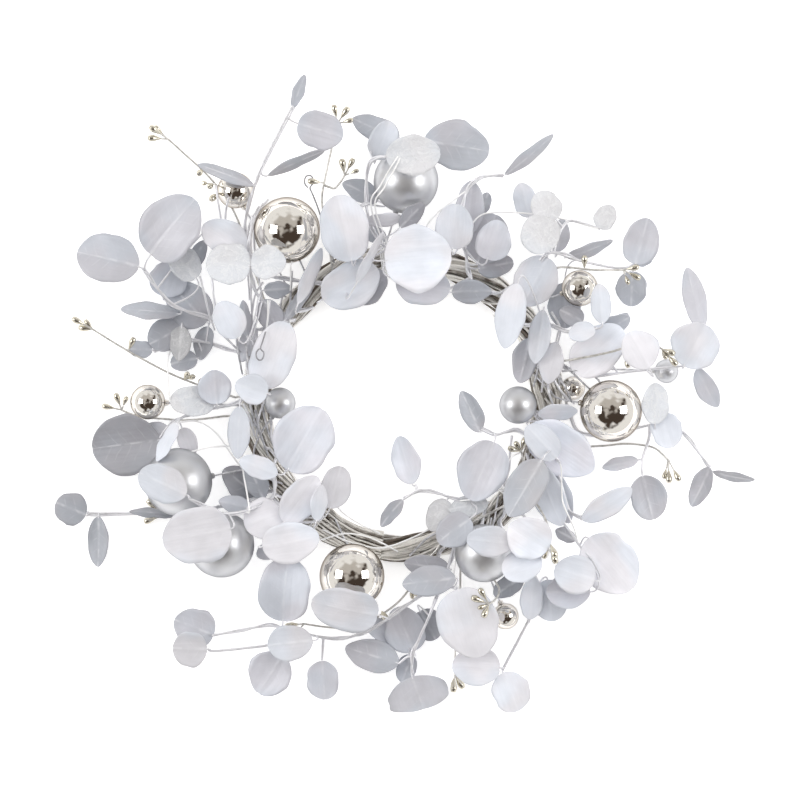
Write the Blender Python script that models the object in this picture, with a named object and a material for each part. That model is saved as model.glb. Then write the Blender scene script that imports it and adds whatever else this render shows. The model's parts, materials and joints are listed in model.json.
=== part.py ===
# A frosted eucalyptus wreath lying on its back: leafy sprays, pip twigs and baubles on
# wires, all wound onto a twisted vine ring. Metres, +Z towards the viewer, +Y its top.

import math
import random

import bmesh
import bpy
from mathutils import Vector
from mathutils.bvhtree import BVHTree

mm = 0.001

# The layout grid lies over the wreath's face: x to the right, y down, 0.72 mm a step.
gridStep = 0.72 * mm
ringAt = (402, 403)

# Driving dimensions
ringRadius = 105 * mm
bundleRadius = 11 * mm
strandDepth = 1.4 * mm
strandCount = 5
strandTurns = 3
ringStations = 40
ringHeight = 9 * mm
stemRadius = 1.15 * mm
twigRadius = 0.9 * mm
wireRadius = 0.8 * mm
stalkRadius = 0.75 * mm
leafThickness = 1.2 * mm
pipLength = 8.5 * mm
pipRadius = 2.1 * mm
seatGap = 0.4 * mm
endGap = 0.15 * mm
touchGap = 0.1 * mm
clearGap = 0.5 * mm
lowestPoint = 1.2 * mm
bindArc = math.radians(10)
bindTurn = math.radians(75)

# One row a leaf: base x, base y, tip x, tip y and width on the grid as seen from the
# front, height of its middle in mm, pitch and roll in degrees, and finish:
# s silver satin, w white satin, f white with frost.
# A spray's root is its angle round the ring and its side of the bundle, 0 outward
# and 90 to the front. Stems are grid x, grid y and height in mm; the first one starts
# on the ring, and the others start on the first.
sprays = {
    "spray_northwest_outer": {
        "root": (150, 50),
        "stems": [[(222, 322, 22), (180, 308, 27), (158, 290, 31), (143, 269, 34)]],
        "leaves": [
            (139, 267, 77, 252, 49, 36, -6, 12, "s"),
            (151, 255, 196, 200, 60, 46, 10, -10, "s"),
            (178, 314, 120, 309, 17, 24, 4, 58, "s"),
            (163, 296, 172, 261, 38, 22, 8, 10, "s"),
            (196, 278, 171, 246, 30, 34, 12, 8, "f"),
            (206, 322, 170, 284, 44, 13, -4, -6, "s"),
            (204, 240, 190, 274, 16, 22, -4, 24, "s"),
        ],
    },
    "spray_northwest_inner": {
        "root": (141, 80),
        "stems": [[(262, 300, 30), (252, 282, 42), (250, 250, 50), (253, 216, 54)]],
        "leaves": [
            (251, 268, 207, 262, 42, 56, -8, 10, "f"),
            (252, 266, 287, 262, 33, 60, 6, -12, "f"),
            (246, 252, 203, 226, 38, 44, 8, 14, "w"),
            (238, 338, 220, 302, 32, 44, 6, 10, "w"),
            (247, 336, 243, 300, 12, 38, 0, 58, "s"),
            (262, 300, 280, 334, 26, 24, -8, 10, "s"),
            (264, 290, 292, 288, 17, 32, 0, 30, "s"),
            (254, 326, 241, 362, 18, 22, -2, 24, "s"),
            (285, 320, 318, 268, 12, 36, 4, 50, "s"),
            (298, 304, 322, 248, 14, 42, 4, 40, "w"),
        ],
    },
    "spray_west_back": {
        "root": (164, 15),
        "stems": [[(238, 352, 12), (205, 342, 12), (178, 342, 13), (152, 350, 14)]],
        "leaves": [
            (182, 326, 148, 344, 34, 14, 6, 10, "s"),
            (181, 326, 178, 361, 22, 24, 0, 20, "f"),
            (207, 326, 199, 360, 20, 9, -4, 16, "s"),
            (196, 358, 169, 364, 22, 8, 0, 14, "s"),
            (151, 350, 128, 349, 18, 16, 6, 30, "s"),
        ],
    },
    "spray_west": {
        "root": (177, 45),
        "stems": [[(236, 404, 24), (215, 408, 28), (190, 414, 30), (172, 424, 32), (160, 438, 30)]],
        "leaves": [
            (214, 405, 170, 400, 30, 34, 4, 14, "f"),
            (217, 404, 214, 370, 33, 40, 10, -8, "s"),
            (159, 440, 91, 449, 60, 26, -6, -8, "s"),
            (178, 423, 157, 461, 14, 40, -6, 52, "w"),
            (181, 428, 192, 456, 20, 26, -4, 30, "w"),
            (170, 431, 138, 434, 22, 18, -4, 10, "s"),
        ],
    },
    "spray_west_inner": {
        "root": (169, 95),
        "stems": [[(252, 388, 36), (260, 388, 42)]],
        "leaves": [
            (262, 388, 287, 322, 46, 44, 6, -10, "w"),
            (268, 394, 236, 384, 30, 54, 4, 8, "w"),
            (240, 406, 238, 459, 23, 40, -4, 24, "w"),
        ],
    },
    "spray_southwest_reach": {
        "root": (214, 35),
        "stems": [[(250, 500, 16), (222, 506, 13), (185, 513, 12), (148, 514, 12), (97, 514, 12),
                   (86, 512, 13)]],
        "leaves": [
            (84, 516, 54, 503, 34, 14, 4, 10, "s"),
            (97, 517, 96, 568, 21, 12, -6, 34, "s"),
            (172, 516, 128, 512, 9, 18, 4, 60, "s"),
            (258, 498, 222, 470, 30, 16, 4, 10, "s"),
            (263, 500, 247, 463, 24, 22, 2, 18, "s"),
            (250, 508, 218, 501, 18, 26, 0, 20, "s"),
        ],
    },
    "spray_southwest_front": {
        "root": (208, 85),
        "stems": [[(273, 497, 38), (243, 511, 50), (215, 511, 58), (190, 497, 62)]],
        "leaves": [
            (188, 494, 141, 472, 38, 66, -2, 8, "w"),
            (232, 528, 164, 541, 57, 56, 0, -8, "w"),
            (282, 512, 245, 526, 42, 44, 4, 10, "w"),
        ],
    },
    "spray_southwest_inner": {
        "root": (200, 110),
        "stems": [[(281, 462, 34), (287, 470, 42)]],
        "leaves": [
            (288, 470, 323, 409, 61, 48, 6, -10, "s"),
            (278, 474, 240, 460, 24, 50, 2, 12, "w"),
        ],
    },
    "spray_south_southwest": {
        "root": (228, 90),
        "stems": [[(296, 514, 34), (298, 528, 42), (286, 543, 46)]],
        "leaves": [
            (284, 522, 318, 476, 36, 50, 6, 12, "w"),
            (330, 508, 341, 466, 32, 44, 6, 10, "w"),
            (317, 520, 322, 484, 17, 56, 0, 40, "w"),
            (263, 546, 320, 536, 42, 58, 4, 8, "w"),
            (280, 548, 256, 556, 18, 22, -6, 14, "s"),
        ],
    },
    "spray_south_reach": {
        "root": (284, 55),
        "stems": [
            [(432, 583, 28), (415, 599, 32), (381, 623, 34), (342, 639, 34), (305, 634, 34),
             (269, 626, 34), (212, 636, 30)],
            [(300, 641, 34), (256, 647, 32), (220, 651, 31), (208, 649, 31)],
            [(322, 648, 33), (322, 660, 32)],
        ],
        "leaves": [
            (283, 621, 289, 556, 54, 42, 4, -10, "s"),
            (313, 640, 268, 645, 36, 46, -4, 8, "w"),
            (213, 636, 174, 620, 40, 28, 6, 10, "s"),
            (207, 649, 173, 648, 37, 38, 0, -8, "w"),
            (283, 655, 258, 694, 44, 26, -8, 10, "s"),
            (322, 661, 325, 700, 33, 32, -6, 12, "s"),
            (378, 614, 312, 600, 44, 60, 6, -12, "w"),
        ],
    },
    "spray_south": {
        "root": (289, 80),
        "stems": [
            [(446, 574, 38), (432, 610, 38), (414, 652, 32), (412, 676, 28)],
            [(408, 657, 30), (399, 664, 28)],
            [(452, 586, 44), (458, 590, 48)],
        ],
        "leaves": [
            (412, 677, 424, 711, 62, 20, -44, 4, "s"),
            (399, 664, 345, 648, 33, 24, -6, 8, "s"),
            (414, 652, 396, 608, 40, 22, 4, 8, "s"),
            (420, 612, 436, 641, 32, 14, -6, 0, "s"),
            (456, 578, 402, 584, 30, 46, 2, 14, "s"),
            (458, 588, 480, 656, 60, 54, -4, 8, "w"),
            (450, 570, 404, 563, 24, 30, 0, -14, "s"),
            (402, 642, 364, 622, 24, 20, 0, 10, "s"),
            (411, 656, 402, 684, 20, 15, -2, 8, "s"),
        ],
    },
    "spray_south_southeast": {
        "root": (303, 45),
        "stems": [[(524, 560, 16), (541, 591, 20), (525, 626, 24), (506, 662, 28), (502, 671, 28)]],
        "leaves": [
            (503, 673, 518, 712, 38, 28, -8, -10, "w"),
            (500, 668, 452, 666, 38, 34, 0, 12, "w"),
            (548, 580, 553, 622, 38, 28, -6, 10, "w"),
            (524, 576, 494, 596, 22, 30, 0, 14, "s"),
            (530, 620, 534, 577, 24, 32, 2, 12, "w"),
        ],
    },
    "spray_southeast": {
        "root": (328, 55),
        "stems": [[(548, 508, 24), (566, 526, 30), (580, 546, 34), (590, 557, 34)]],
        "leaves": [
            (588, 538, 632, 590, 56, 34, -6, 8, "w"),
            (594, 580, 554, 568, 38, 48, 4, 8, "w"),
            (590, 592, 546, 592, 34, 36, -2, 10, "s"),
            (576, 541, 556, 530, 14, 24, 0, 30, "s"),
        ],
    },
    "spray_southeast_inner": {
        "root": (316, 90),
        "stems": [[(524, 516, 36), (540, 534, 50), (546, 552, 58)]],
        "leaves": [
            (547, 548, 508, 524, 42, 68, 4, -8, "w"),
            (540, 556, 502, 572, 33, 60, -4, 14, "w"),
            (512, 542, 466, 538, 30, 66, 0, -10, "w"),
        ],
    },
    "spray_hole": {
        "root": (316, 125),
        "stems": [
            [(484, 504, 30), (459, 501, 34), (434, 491, 36), (417, 491, 36), (404, 499, 34)],
            [(416, 488, 36), (416, 484, 36)],
        ],
        "leaves": [
            (412, 484, 399, 436, 28, 38, 4, 10, "s"),
            (403, 500, 381, 527, 14, 32, -4, 48, "s"),
            (447, 500, 430, 531, 25, 30, -6, 20, "f"),
            (470, 518, 438, 542, 34, 40, -4, 10, "s"),
            (488, 503, 448, 510, 22, 34, 0, 16, "f"),
        ],
    },
    "spray_east_inner": {
        "root": (343, 115),
        "stems": [[(517, 429, 34), (496, 435, 38), (481, 429, 42)]],
        "leaves": [
            (480, 432, 461, 391, 22, 44, 6, 14, "s"),
            (494, 442, 470, 500, 50, 45, -6, 10, "s"),
        ],
    },
    "spray_east_low": {
        "root": (350, 60),
        "stems": [[(548, 442, 26), (556, 464, 29), (563, 490, 31), (570, 511, 32), (582, 519, 32)]],
        "leaves": [
            (529, 426, 594, 471, 50, 35, -4, 8, "s"),
            (538, 414, 578, 411, 17, 46, 0, 42, "w"),
            (538, 464, 562, 526, 32, 38, -4, 14, "w"),
            (550, 470, 570, 524, 26, 22, -4, 10, "s"),
            (582, 520, 632, 488, 24, 34, 4, 22, "w"),
            (556, 458, 526, 426, 30, 46, 2, 8, "w"),
            (541, 460, 508, 516, 38, 34, -2, 10, "w"),
        ],
    },
    "spray_east_reach": {
        "root": (3, 0),
        "stems": [
            [(576, 428, 7), (600, 434, 6), (632, 430, 10), (656, 424, 20), (680, 430, 24),
             (700, 454, 24), (712, 467, 22)],
            [(650, 438, 20), (643, 460, 22), (643, 475, 22)],
        ],
        "leaves": [
            (643, 476, 654, 520, 37, 24, -6, -10, "s"),
            (639, 460, 603, 468, 13, 20, 0, 52, "s"),
            (655, 424, 655, 383, 28, 34, 8, 10, "f"),
            (662, 414, 672, 448, 32, 30, -6, -8, "w"),
            (711, 468, 693, 507, 20, 18, -20, 30, "s"),
            (714, 472, 756, 480, 9, 22, 0, 52, "s"),
        ],
    },
    "spray_east": {
        "root": (18, 50),
        "stems": [[(575, 372, 30), (610, 374, 30), (645, 370, 28), (684, 366, 28), (698, 366, 26)]],
        "leaves": [
            (648, 368, 628, 332, 38, 52, 4, 8, "w"),
            (684, 366, 706, 325, 50, 38, 6, -8, "w"),
            (698, 368, 719, 407, 20, 26, -6, 30, "s"),
            (703, 330, 688, 267, 24, 20, 4, 40, "s"),
            (574, 372, 622, 328, 46, 46, 4, 10, "w"),
            (600, 334, 630, 317, 20, 40, 4, 20, "s"),
            (612, 332, 629, 313, 14, 20, 0, 30, "s"),
        ],
    },
    "spray_northeast_inner": {
        "root": (32, 80),
        "stems": [[(543, 322, 34), (566, 332, 42), (592, 328, 46)]],
        "leaves": [
            (594, 329, 568, 336, 20, 54, 2, 12, "w"),
            (602, 324, 598, 284, 22, 48, 4, 20, "w"),
            (583, 322, 560, 310, 20, 30, 0, 14, "s"),
            (543, 310, 535, 364, 22, 44, -4, 22, "w"),
            (556, 342, 548, 384, 24, 32, -4, 14, "w"),
            (531, 338, 520, 383, 27, 12, -6, 10, "s"),
            (517, 284, 504, 349, 30, 54, -4, 12, "w"),
        ],
    },
    "spray_northeast": {
        "root": (48, 75),
        "stems": [
            [(530, 272, 34), (549, 253, 42), (585, 262, 34), (620, 268, 28), (635, 266, 24)],
            [(558, 236, 42), (570, 221, 40), (600, 229, 36)],
            [(548, 236, 44), (534, 218, 40)],
        ],
        "leaves": [
            (548, 252, 530, 217, 40, 52, 6, 8, "f"),
            (556, 220, 535, 194, 30, 46, 8, 10, "f"),
            (530, 217, 520, 183, 24, 36, 4, -12, "w"),
            (556, 252, 563, 218, 20, 30, 4, 14, "s"),
            (567, 257, 613, 240, 12, 32, 4, 48, "s"),
            (636, 264, 648, 218, 37, 30, 6, -8, "s"),
            (637, 263, 654, 250, 16, 22, 0, 20, "s"),
            (634, 271, 632, 306, 31, 18, -8, 8, "s"),
            (548, 258, 522, 305, 42, 42, -6, 10, "w"),
            (600, 229, 611, 205, 22, 36, 6, 10, "f"),
            (566, 282, 566, 328, 34, 22, -2, 8, "s"),
        ],
    },
    "spray_north_northeast": {
        "root": (64, 80),
        "stems": [[(466, 250, 36), (458, 226, 46), (468, 190, 48), (486, 177, 46), (503, 175, 44)]],
        "leaves": [
            (505, 175, 553, 135, 12, 44, 6, 52, "s"),
            (452, 250, 455, 205, 40, 60, 6, 8, "w"),
            (466, 238, 472, 181, 30, 42, 8, -10, "s"),
            (487, 260, 499, 221, 36, 50, 6, 8, "s"),
            (478, 262, 496, 214, 46, 26, 0, -8, "s"),
            (452, 292, 492, 291, 24, 26, 0, 14, "s"),
            (481, 214, 488, 192, 14, 28, 0, 14, "s"),
            (478, 268, 514, 262, 24, 18, 0, 8, "s"),
        ],
    },
    "spray_north": {
        "root": (88, 80),
        "stems": [
            [(384, 246, 38), (368, 215, 42), (366, 185, 46), (372, 163, 54), (386, 158, 62)],
            [(372, 150, 44), (398, 139, 38), (424, 141, 40)],
        ],
        "leaves": [
            (385, 262, 451, 256, 65, 74, 2, 6, "w"),
            (386, 159, 440, 154, 40, 66, 0, 8, "f"),
            (424, 141, 489, 152, 49, 42, 4, -8, "s"),
            (376, 160, 390, 122, 29, 40, 6, 10, "w"),
            (399, 138, 352, 118, 26, 28, 4, 10, "s"),
            (396, 280, 450, 290, 44, 58, -6, 4, "s"),
            (400, 228, 424, 204, 18, 34, 2, 30, "s"),
        ],
    },
    "spray_north_northwest": {
        "root": (104, 85),
        "stems": [[(362, 258, 36), (352, 240, 46), (356, 212, 48), (370, 204, 46)]],
        "leaves": [
            (352, 262, 338, 196, 50, 58, 4, -8, "w"),
            (323, 300, 378, 269, 46, 42, 4, 10, "w"),
            (378, 200, 342, 182, 22, 30, 2, 20, "s"),
            (366, 221, 405, 218, 13, 44, 2, 48, "w"),
            (386, 240, 361, 228, 18, 30, 0, 20, "s"),
            (357, 284, 384, 233, 9, 66, 0, 56, "w"),
            (352, 300, 384, 272, 34, 30, 0, 8, "s"),
        ],
    },
    "spray_north_reach": {
        "root": (136, 60),
        "stems": [[(262, 272, 16), (244, 235, 20), (251, 200, 32), (262, 166, 38), (285, 120, 40),
                   (293, 108, 40)]],
        "leaves": [
            (293, 108, 305, 75, 11, 40, 6, 48, "s"),
            (298, 124, 343, 138, 38, 44, 4, 8, "s"),
            (268, 176, 325, 151, 10, 42, 4, 50, "s"),
            (254, 186, 198, 165, 13, 40, 2, 50, "s"),
        ],
    },
}

# Bare twigs that end in pips: each pip is its middle's grid x, grid y and height in mm.
twigs = {
    "pip_twig_northwest": {
        "root": (146, 30),
        "stems": [[(250, 262, 10), (238, 222, 14), (222, 192, 24), (197, 165, 30), (166, 137, 32)]],
        "pips": [(155, 130, 33), (154, 138, 31), (200, 172, 32), (211, 186, 40), (214, 197, 36)],
    },
    "pip_twig_north": {
        "root": (118, 85),
        "stems": [
            [(330, 250, 28), (326, 225, 36), (322, 200, 40), (326, 175, 42), (332, 148, 42),
             (338, 122, 42)],
            [(336, 188, 42), (346, 174, 44)],
        ],
        "pips": [(335, 111, 42), (345, 113, 44), (343, 166, 46), (351, 164, 44), (314, 182, 42)],
    },
    "pip_twig_west": {
        "root": (172, 30),
        "stems": [[(230, 396, 14), (205, 388, 18), (180, 378, 22), (150, 363, 24), (120, 347, 24),
                   (90, 328, 24)]],
        "pips": [(77, 321, 25), (84, 328, 21), (131, 343, 27), (186, 376, 30), (200, 382, 28)],
    },
    "pip_twig_west_low": {
        "root": (184, 10),
        "stems": [[(228, 416, 10), (190, 420, 7), (140, 417, 7), (118, 409, 10)]],
        "pips": [(106, 407, 10), (116, 399, 13)],
    },
    "pip_twig_southwest": {
        "root": (219, 5),
        "stems": [[(266, 524, 6), (240, 523, 6), (200, 524, 5), (160, 516, 5)]],
        "pips": [(150, 505, 6), (148, 521, 6)],
    },
    "pip_twig_south": {
        "root": (279, 40),
        "stems": [[(420, 574, 12), (395, 606, 18), (350, 628, 24), (302, 624, 26)]],
        "pips": [(291, 626, 30), (295, 634, 28), (384, 616, 26), (414, 592, 18)],
    },
    "pip_twig_south_front": {
        "root": (299, 35),
        "stems": [[(489, 572, 20), (499, 588, 38), (495, 598, 58), (487, 603, 64)]],
        "pips": [(477, 598, 65), (485, 610, 66), (482, 592, 66)],
    },
    "pip_twig_south_low": {
        "root": (294, 20),
        "stems": [
            [(462, 556, 6), (460, 600, 10), (456, 640, 16), (455, 678, 18)],
        ],
        "pips": [(454, 687, 19), (460, 684, 16)],
    },
    "pip_twig_southeast": {
        "root": (310, 95),
        "stems": [[(518, 500, 34), (535, 502, 44), (548, 528, 62), (549, 545, 66)]],
        "pips": [(552, 550, 70), (553, 556, 64), (528, 498, 46)],
    },
    "pip_twig_east": {
        "root": (10, 70),
        "stems": [[(570, 360, 42), (610, 352, 48), (645, 342, 48), (662, 350, 46)]],
        "pips": [(672, 361, 46), (668, 352, 48), (626, 362, 54)],
    },
    "pip_twig_east_low": {
        "root": (352, 25),
        "stems": [[(585, 446, 14), (625, 444, 20), (655, 448, 20), (671, 462, 18)]],
        "pips": [(670, 477, 18), (678, 476, 18)],
    },
    "pip_twig_northeast": {
        "root": (42, 85),
        "stems": [[(535, 285, 30), (556, 268, 40), (590, 270, 44), (625, 270, 36)]],
        "pips": [(633, 268, 38), (635, 276, 34), (584, 262, 46)],
    },
    "pip_twig_hole": {
        "root": (336, 120),
        "stems": [[(524, 468, 24), (521, 456, 34), (521, 450, 40)]],
        "pips": [(523, 445, 40), (516, 450, 40)],
    },
}

# A bauble: grid x, grid y, height and radius in mm, finish (m mirror, s satin), and the
# angle and side of the bundle that its wire is wound onto.
baubles = {
    "bauble_north_satin": (406, 181, 34, 23.4, "s", (96, 30)),
    "bauble_northwest_mirror": (287, 230, 35, 23.8, "m", (127, 30)),
    "bauble_northwest_small": (235, 190, 28, 13.0, "m", (133, 5)),
    "bauble_northeast_small": (580, 288, 30, 13.0, "m", (38, 20)),
    "bauble_east_back": (574, 388, 17, 8.5, "m", (6, 40)),
    "bauble_west_small": (147, 402, 24, 12.6, "m", (181, 20)),
    "bauble_inner_west": (280, 403, 32, 11.2, "s", (186, 110)),
    "bauble_west_satin": (178, 482, 30, 24.5, "s", (204, 20)),
    "bauble_inner_east": (518, 405, 34, 13.5, "s", (356, 110)),
    "bauble_east_mirror": (611, 411, 34, 22.3, "m", (4, 55)),
    "bauble_south_mirror": (352, 576, 38, 23.4, "m", (250, 60)),
    "bauble_south_satin": (484, 553, 41, 20.9, "s", (306, 60)),
    "bauble_south_small": (506, 617, 22, 9.4, "m", (300, 15)),
    "bauble_southwest_satin": (221, 545, 26, 23.8, "s", (224, 30)),
    "bauble_east_small": (668, 371, 12, 8.6, "s", (13, 5)),
}


def spot(x, y, high):
    return Vector(((x - ringAt[0]) * gridStep, (ringAt[1] - y) * gridStep, high * mm))


def ringSpot(angle, around, out):
    # angle round the ring, around the bundle from its outer side, out from its middle
    reach = ringRadius + out * math.cos(around)
    return Vector((reach * math.cos(angle), reach * math.sin(angle), ringHeight + out * math.sin(around)))


def smoothRoute(points, parts, before=None):
    # a smooth curve through the points, coming from the point before them
    points = [before or 2 * points[0] - points[1]] + points + [2 * points[-1] - points[-2]]
    route = []
    for a, b, c, d in zip(points, points[1:], points[2:], points[3:]):
        for k in range(parts):
            t = k / parts
            route.append(0.5 * (2 * b + (c - a) * t + (2 * a - 5 * b + 4 * c - d) * t * t
                                + (3 * b - a - 3 * c + d) * t ** 3))
    return route + [points[-2]]


def thinned(route, slack=0.6 * mm):
    # the route without the points that lie almost straight between their neighbours
    kept = [route[0]]
    for point, after in zip(route[1:], route[2:]):
        way = (after - kept[-1]).normalized()
        if (point - kept[-1]).cross(way).length > slack:
            kept.append(point)
    return kept + [route[-1]]


def ringMesh():
    # a torus drawn into five strands that wind round the bundle, pressed flat underneath
    points = []
    for station in range(ringStations):
        angle = math.tau * station / ringStations
        for side in range(2 * strandCount):
            around = math.pi * side / strandCount + strandTurns * angle
            place = ringSpot(angle, around, bundleRadius - (strandDepth if side % 2 else 0))
            points.append((place.x, place.y, max(place.z, 0)))
    faces = []
    for station in range(ringStations):
        here, after = 2 * strandCount * station, 2 * strandCount * ((station + 1) % ringStations)
        for side in range(2 * strandCount):
            a, b = here + side, here + (side + 1) % (2 * strandCount)
            c, d = after + side, after + (side + 1) % (2 * strandCount)
            faces += [(a, c, b), (b, c, d)]
    return points, faces


def seated(route, radius, ring):
    # the wound end laid against the ring's own surface, as far as the stretch stays clear
    near, normal, index, distance = ring.find_nearest(route[0])
    for share in (1, 0.75, 0.5, 0.25):
        end = route[0].lerp(near, share * (distance - radius - endGap) / distance)
        if all(ring.find_nearest(end.lerp(route[1], k / 6))[3] > radius + touchGap for k in range(7)):
            return [end] + route[1:]
    return route


def boundRoute(root, points, radius, slide, lift, twist, ring):
    # wound part of a turn onto the bundle, then away through the points
    angle = math.radians(root[0]) + slide
    around = math.radians(root[1])
    out = bundleRadius + seatGap + radius
    free = [Vector((p.x, p.y, max(p.z + lift, radius + lowestPoint))) for p in points]
    tangent = Vector((-math.sin(angle), math.cos(angle), 0))
    sense = 1 if tangent.dot(free[0] - ringSpot(angle, around, out)) > 0 else -1
    wind = bindTurn * twist * (1 if root[1] < 90 else -1)
    turns = (1, 2 / 3, 1 / 3, 0) if abs(twist) > 0.5 else (1, 0.5, 0)
    wound = [ringSpot(angle - sense * bindArc * abs(twist) * t, around + wind * t, out) for t in turns]
    return seated(wound[:-1] + thinned(smoothRoute([wound[-1]] + free, 2, wound[-2])), radius, ring)


def beadsAlong(route, radius, spacing=1.6 * mm):
    beads = []
    for a, b in zip(route, route[1:]):
        count = max(1, math.ceil((b - a).length / spacing))
        beads += [(a.lerp(b, k / count), radius) for k in range(count)]
    return beads + [(route[-1], radius)]


def readLeaf(row, draw):
    bx, by, tx, ty, wide, high, pitch, roll, finish = row
    base, tip = spot(bx, by, high), spot(tx, ty, high)
    longSide = (tip - base).length > 1.55 * wide * gridStep
    level = math.cos(math.radians(roll)) ** 2
    return {
        "flat": tip - base, "middle": (base + tip) / 2, "wide": wide * gridStep,
        "pitch": math.radians(pitch), "roll": math.radians(roll), "finish": finish,
        "cup": draw.uniform(0.02, 0.26) * level, "arch": draw.uniform(-0.05, 0.09) * level,
        "skew": draw.uniform(0.82, 1.0), "power": 0.66 if longSide else draw.uniform(0.5, 0.56),
    }


def bladeFrame(leaf, lift, lean, turn, size):
    pitch, roll = leaf["pitch"] * lean, leaf["roll"] * turn
    flat = leaf["flat"] * size
    heading = flat.normalized()
    along = heading * math.cos(pitch) + Vector((0, 0, math.sin(pitch)))
    level = Vector((0, 0, 1)).cross(heading)
    side = level * math.cos(roll) + along.cross(level) * math.sin(roll)
    length = flat.length / math.cos(pitch)
    middle = leaf["middle"] - leaf["flat"] * (1 - size) / 2 + Vector((0, 0, lift))
    return {
        "base": middle - along * length / 2, "along": along, "side": side,
        "normal": along.cross(side), "length": length, "width": leaf["wide"] * size / math.cos(roll),
    }


def bladeSpot(leaf, frame, u, v):
    t = u ** leaf["skew"]
    half = frame["width"] / 2 * (4 * t * (1 - t)) ** leaf["power"]
    rise = leaf["cup"] * half * v * v + leaf["arch"] * frame["length"] * 4 * u * (1 - u)
    return frame["base"] + frame["along"] * frame["length"] * u + frame["side"] * half * v + frame["normal"] * rise


def stalkRoute(root, frame, parts):
    # from the stem's middle to the blade, arriving along the blade
    base, reach = frame["base"], (frame["base"] - root).length
    bend = base - frame["along"] * reach * 0.5
    return [root.lerp(bend, k / parts).lerp(bend.lerp(base, k / parts), k / parts) for k in range(parts + 1)]


def loftFaces(count):
    # four-point sections joined so that the blade's two faces are split alike, then a tip
    faces = [(0, 2, 1), (0, 3, 2)]
    for s in range(count - 1):
        for k in range(4):
            a, b = 4 * s + k, 4 * s + (k + 1) % 4
            c, d = a + 4, b + 4
            faces += [(a, b, d), (a, d, c)] if k % 2 == 0 else [(a, b, c), (b, d, c)]
    last, tip = 4 * (count - 1), 4 * count
    return faces + [(last + k, last + (k + 1) % 4, tip) for k in range(4)]


def leafLoft(leaf, frame, root, extra=0.0):
    if frame["length"] > 43 * mm:
        stations = (0.05, 0.2, 0.45, 0.7, 0.9)
    elif frame["length"] > 26 * mm:
        stations = (0.07, 0.3, 0.62, 0.88)
    else:
        stations = (0.1, 0.46, 0.86)
    parts = 2 if (frame["base"] - root).length > 14 * mm else 1
    route = stalkRoute(root, frame, parts)
    points, side, ahead = [], frame["side"], frame["along"]
    r = stalkRadius + extra
    sections = []
    for k in range(parts, -1, -1):
        a, b = route[max(k - 1, 0)], route[min(k + 1, parts)]
        if k < parts and (b - a).length > 0.1 * mm:
            way = (b - a).normalized()
            side = ahead.rotation_difference(way) @ side
            ahead = way
        up = ahead.cross(side)
        sections.insert(0, [route[k] + side * r, route[k] + up * r, route[k] - side * r, route[k] - up * r])
    half = frame["normal"] * (leafThickness / 2 + extra)
    wide = 1 + extra / max(frame["width"] / 2, mm)
    for u in stations:
        middle = bladeSpot(leaf, frame, u, 0)
        sections.append([bladeSpot(leaf, frame, u, wide), middle + half, bladeSpot(leaf, frame, u, -wide),
                         middle - half])
    for section in sections:
        points += section
    points.append(bladeSpot(leaf, frame, 1, 0) + frame["along"] * extra)
    return points, loftFaces(len(sections)), 4 * (parts + 1)


def nearestOn(routes, base):
    # the place on the stems, short of their ends, nearest the blade's base, height counting half
    free = [routes[0][1:]] + routes[1:]
    spots = [point for route in free for point, radius in beadsAlong(route, 0)[:-1]]
    return min(spots, key=lambda p: (p.xy - base.xy).length + 0.5 * abs(p.z - base.z))


def ringBeads():
    return [(ringSpot(math.radians(a), 0, 0), bundleRadius + 0.1 * mm) for a in range(0, 360, 2)]


def touches(own, beads, placed, ring):
    if any(ring.find_nearest(point, radius + touchGap)[0] for point, radius in beads):
        return True
    for owner, others in placed.items():
        if owner not in (own, "vine_ring"):
            for point, radius in beads:
                for other, wide in others:
                    if (point - other).length_squared < (radius + wide + touchGap) ** 2:
                        return True
    return False


def bindings():
    # ways to wind onto the ring, plainest first: slide, side of the bundle, twist and lift
    ways = [(abs(slide) * 0.5 + abs(turn) * 0.15 + abs(1 - twist) * 4 + abs(lift), slide, turn, twist, lift)
            for slide in range(-10, 11, 2) for turn in (0, 15, -15, 30, -30)
            for twist in (1, 0.5, 0.25, -0.5) for lift in range(-9, 10, 3)]
    return sorted(ways)


def placeStems(name, plan, radius, placed, ways, ring):
    # the first stem starts on the ring; moved until it clears what is there
    for cost, slide, turn, twist, lift in ways:
        root = (plan["root"][0], plan["root"][1] + turn)
        first = boundRoute(root, [spot(*p) for p in plan["stems"][0]], radius, math.radians(slide),
                           lift * mm, twist, ring)
        beads = beadsAlong(first, radius)
        if touches(name, beads[::2], placed, ring):
            continue
        routes = [first]
        for stem in plan["stems"][1:]:
            points = [spot(*p) + Vector((0, 0, lift * mm)) for p in stem]
            side = thinned(smoothRoute([nearestOn([first], points[0])] + points, 2))
            routes.append(side)
            beads += beadsAlong(side, radius * 0.85)
        if not touches(name, beads[::2], placed, ring):
            placed[name] = beads
            return routes
    return None


def placeWire(name, placed, ways, ring):
    x, y, high, radius, finish, root = baubles[name]
    centre = spot(x, y, high)
    for cost, slide, turn, twist, lift in ways:
        if lift == 0:
            away = ringSpot(math.radians(root[0] + slide), math.radians(root[1] + turn), bundleRadius + 5 * mm)
            edge = centre + (away - centre).normalized() * (radius - 2.5) * mm
            points = [away.lerp(edge, 0.5), edge] if (edge - away).length > 12 * mm else [edge]
            route = boundRoute((root[0], root[1] + turn), points, wireRadius, math.radians(slide), 0,
                               twist, ring)
            beads = beadsAlong(route, wireRadius)
            if not touches(name, beads[::2], placed, ring):
                placed[name] = placed[name] + beads
                return route
    return None


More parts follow.
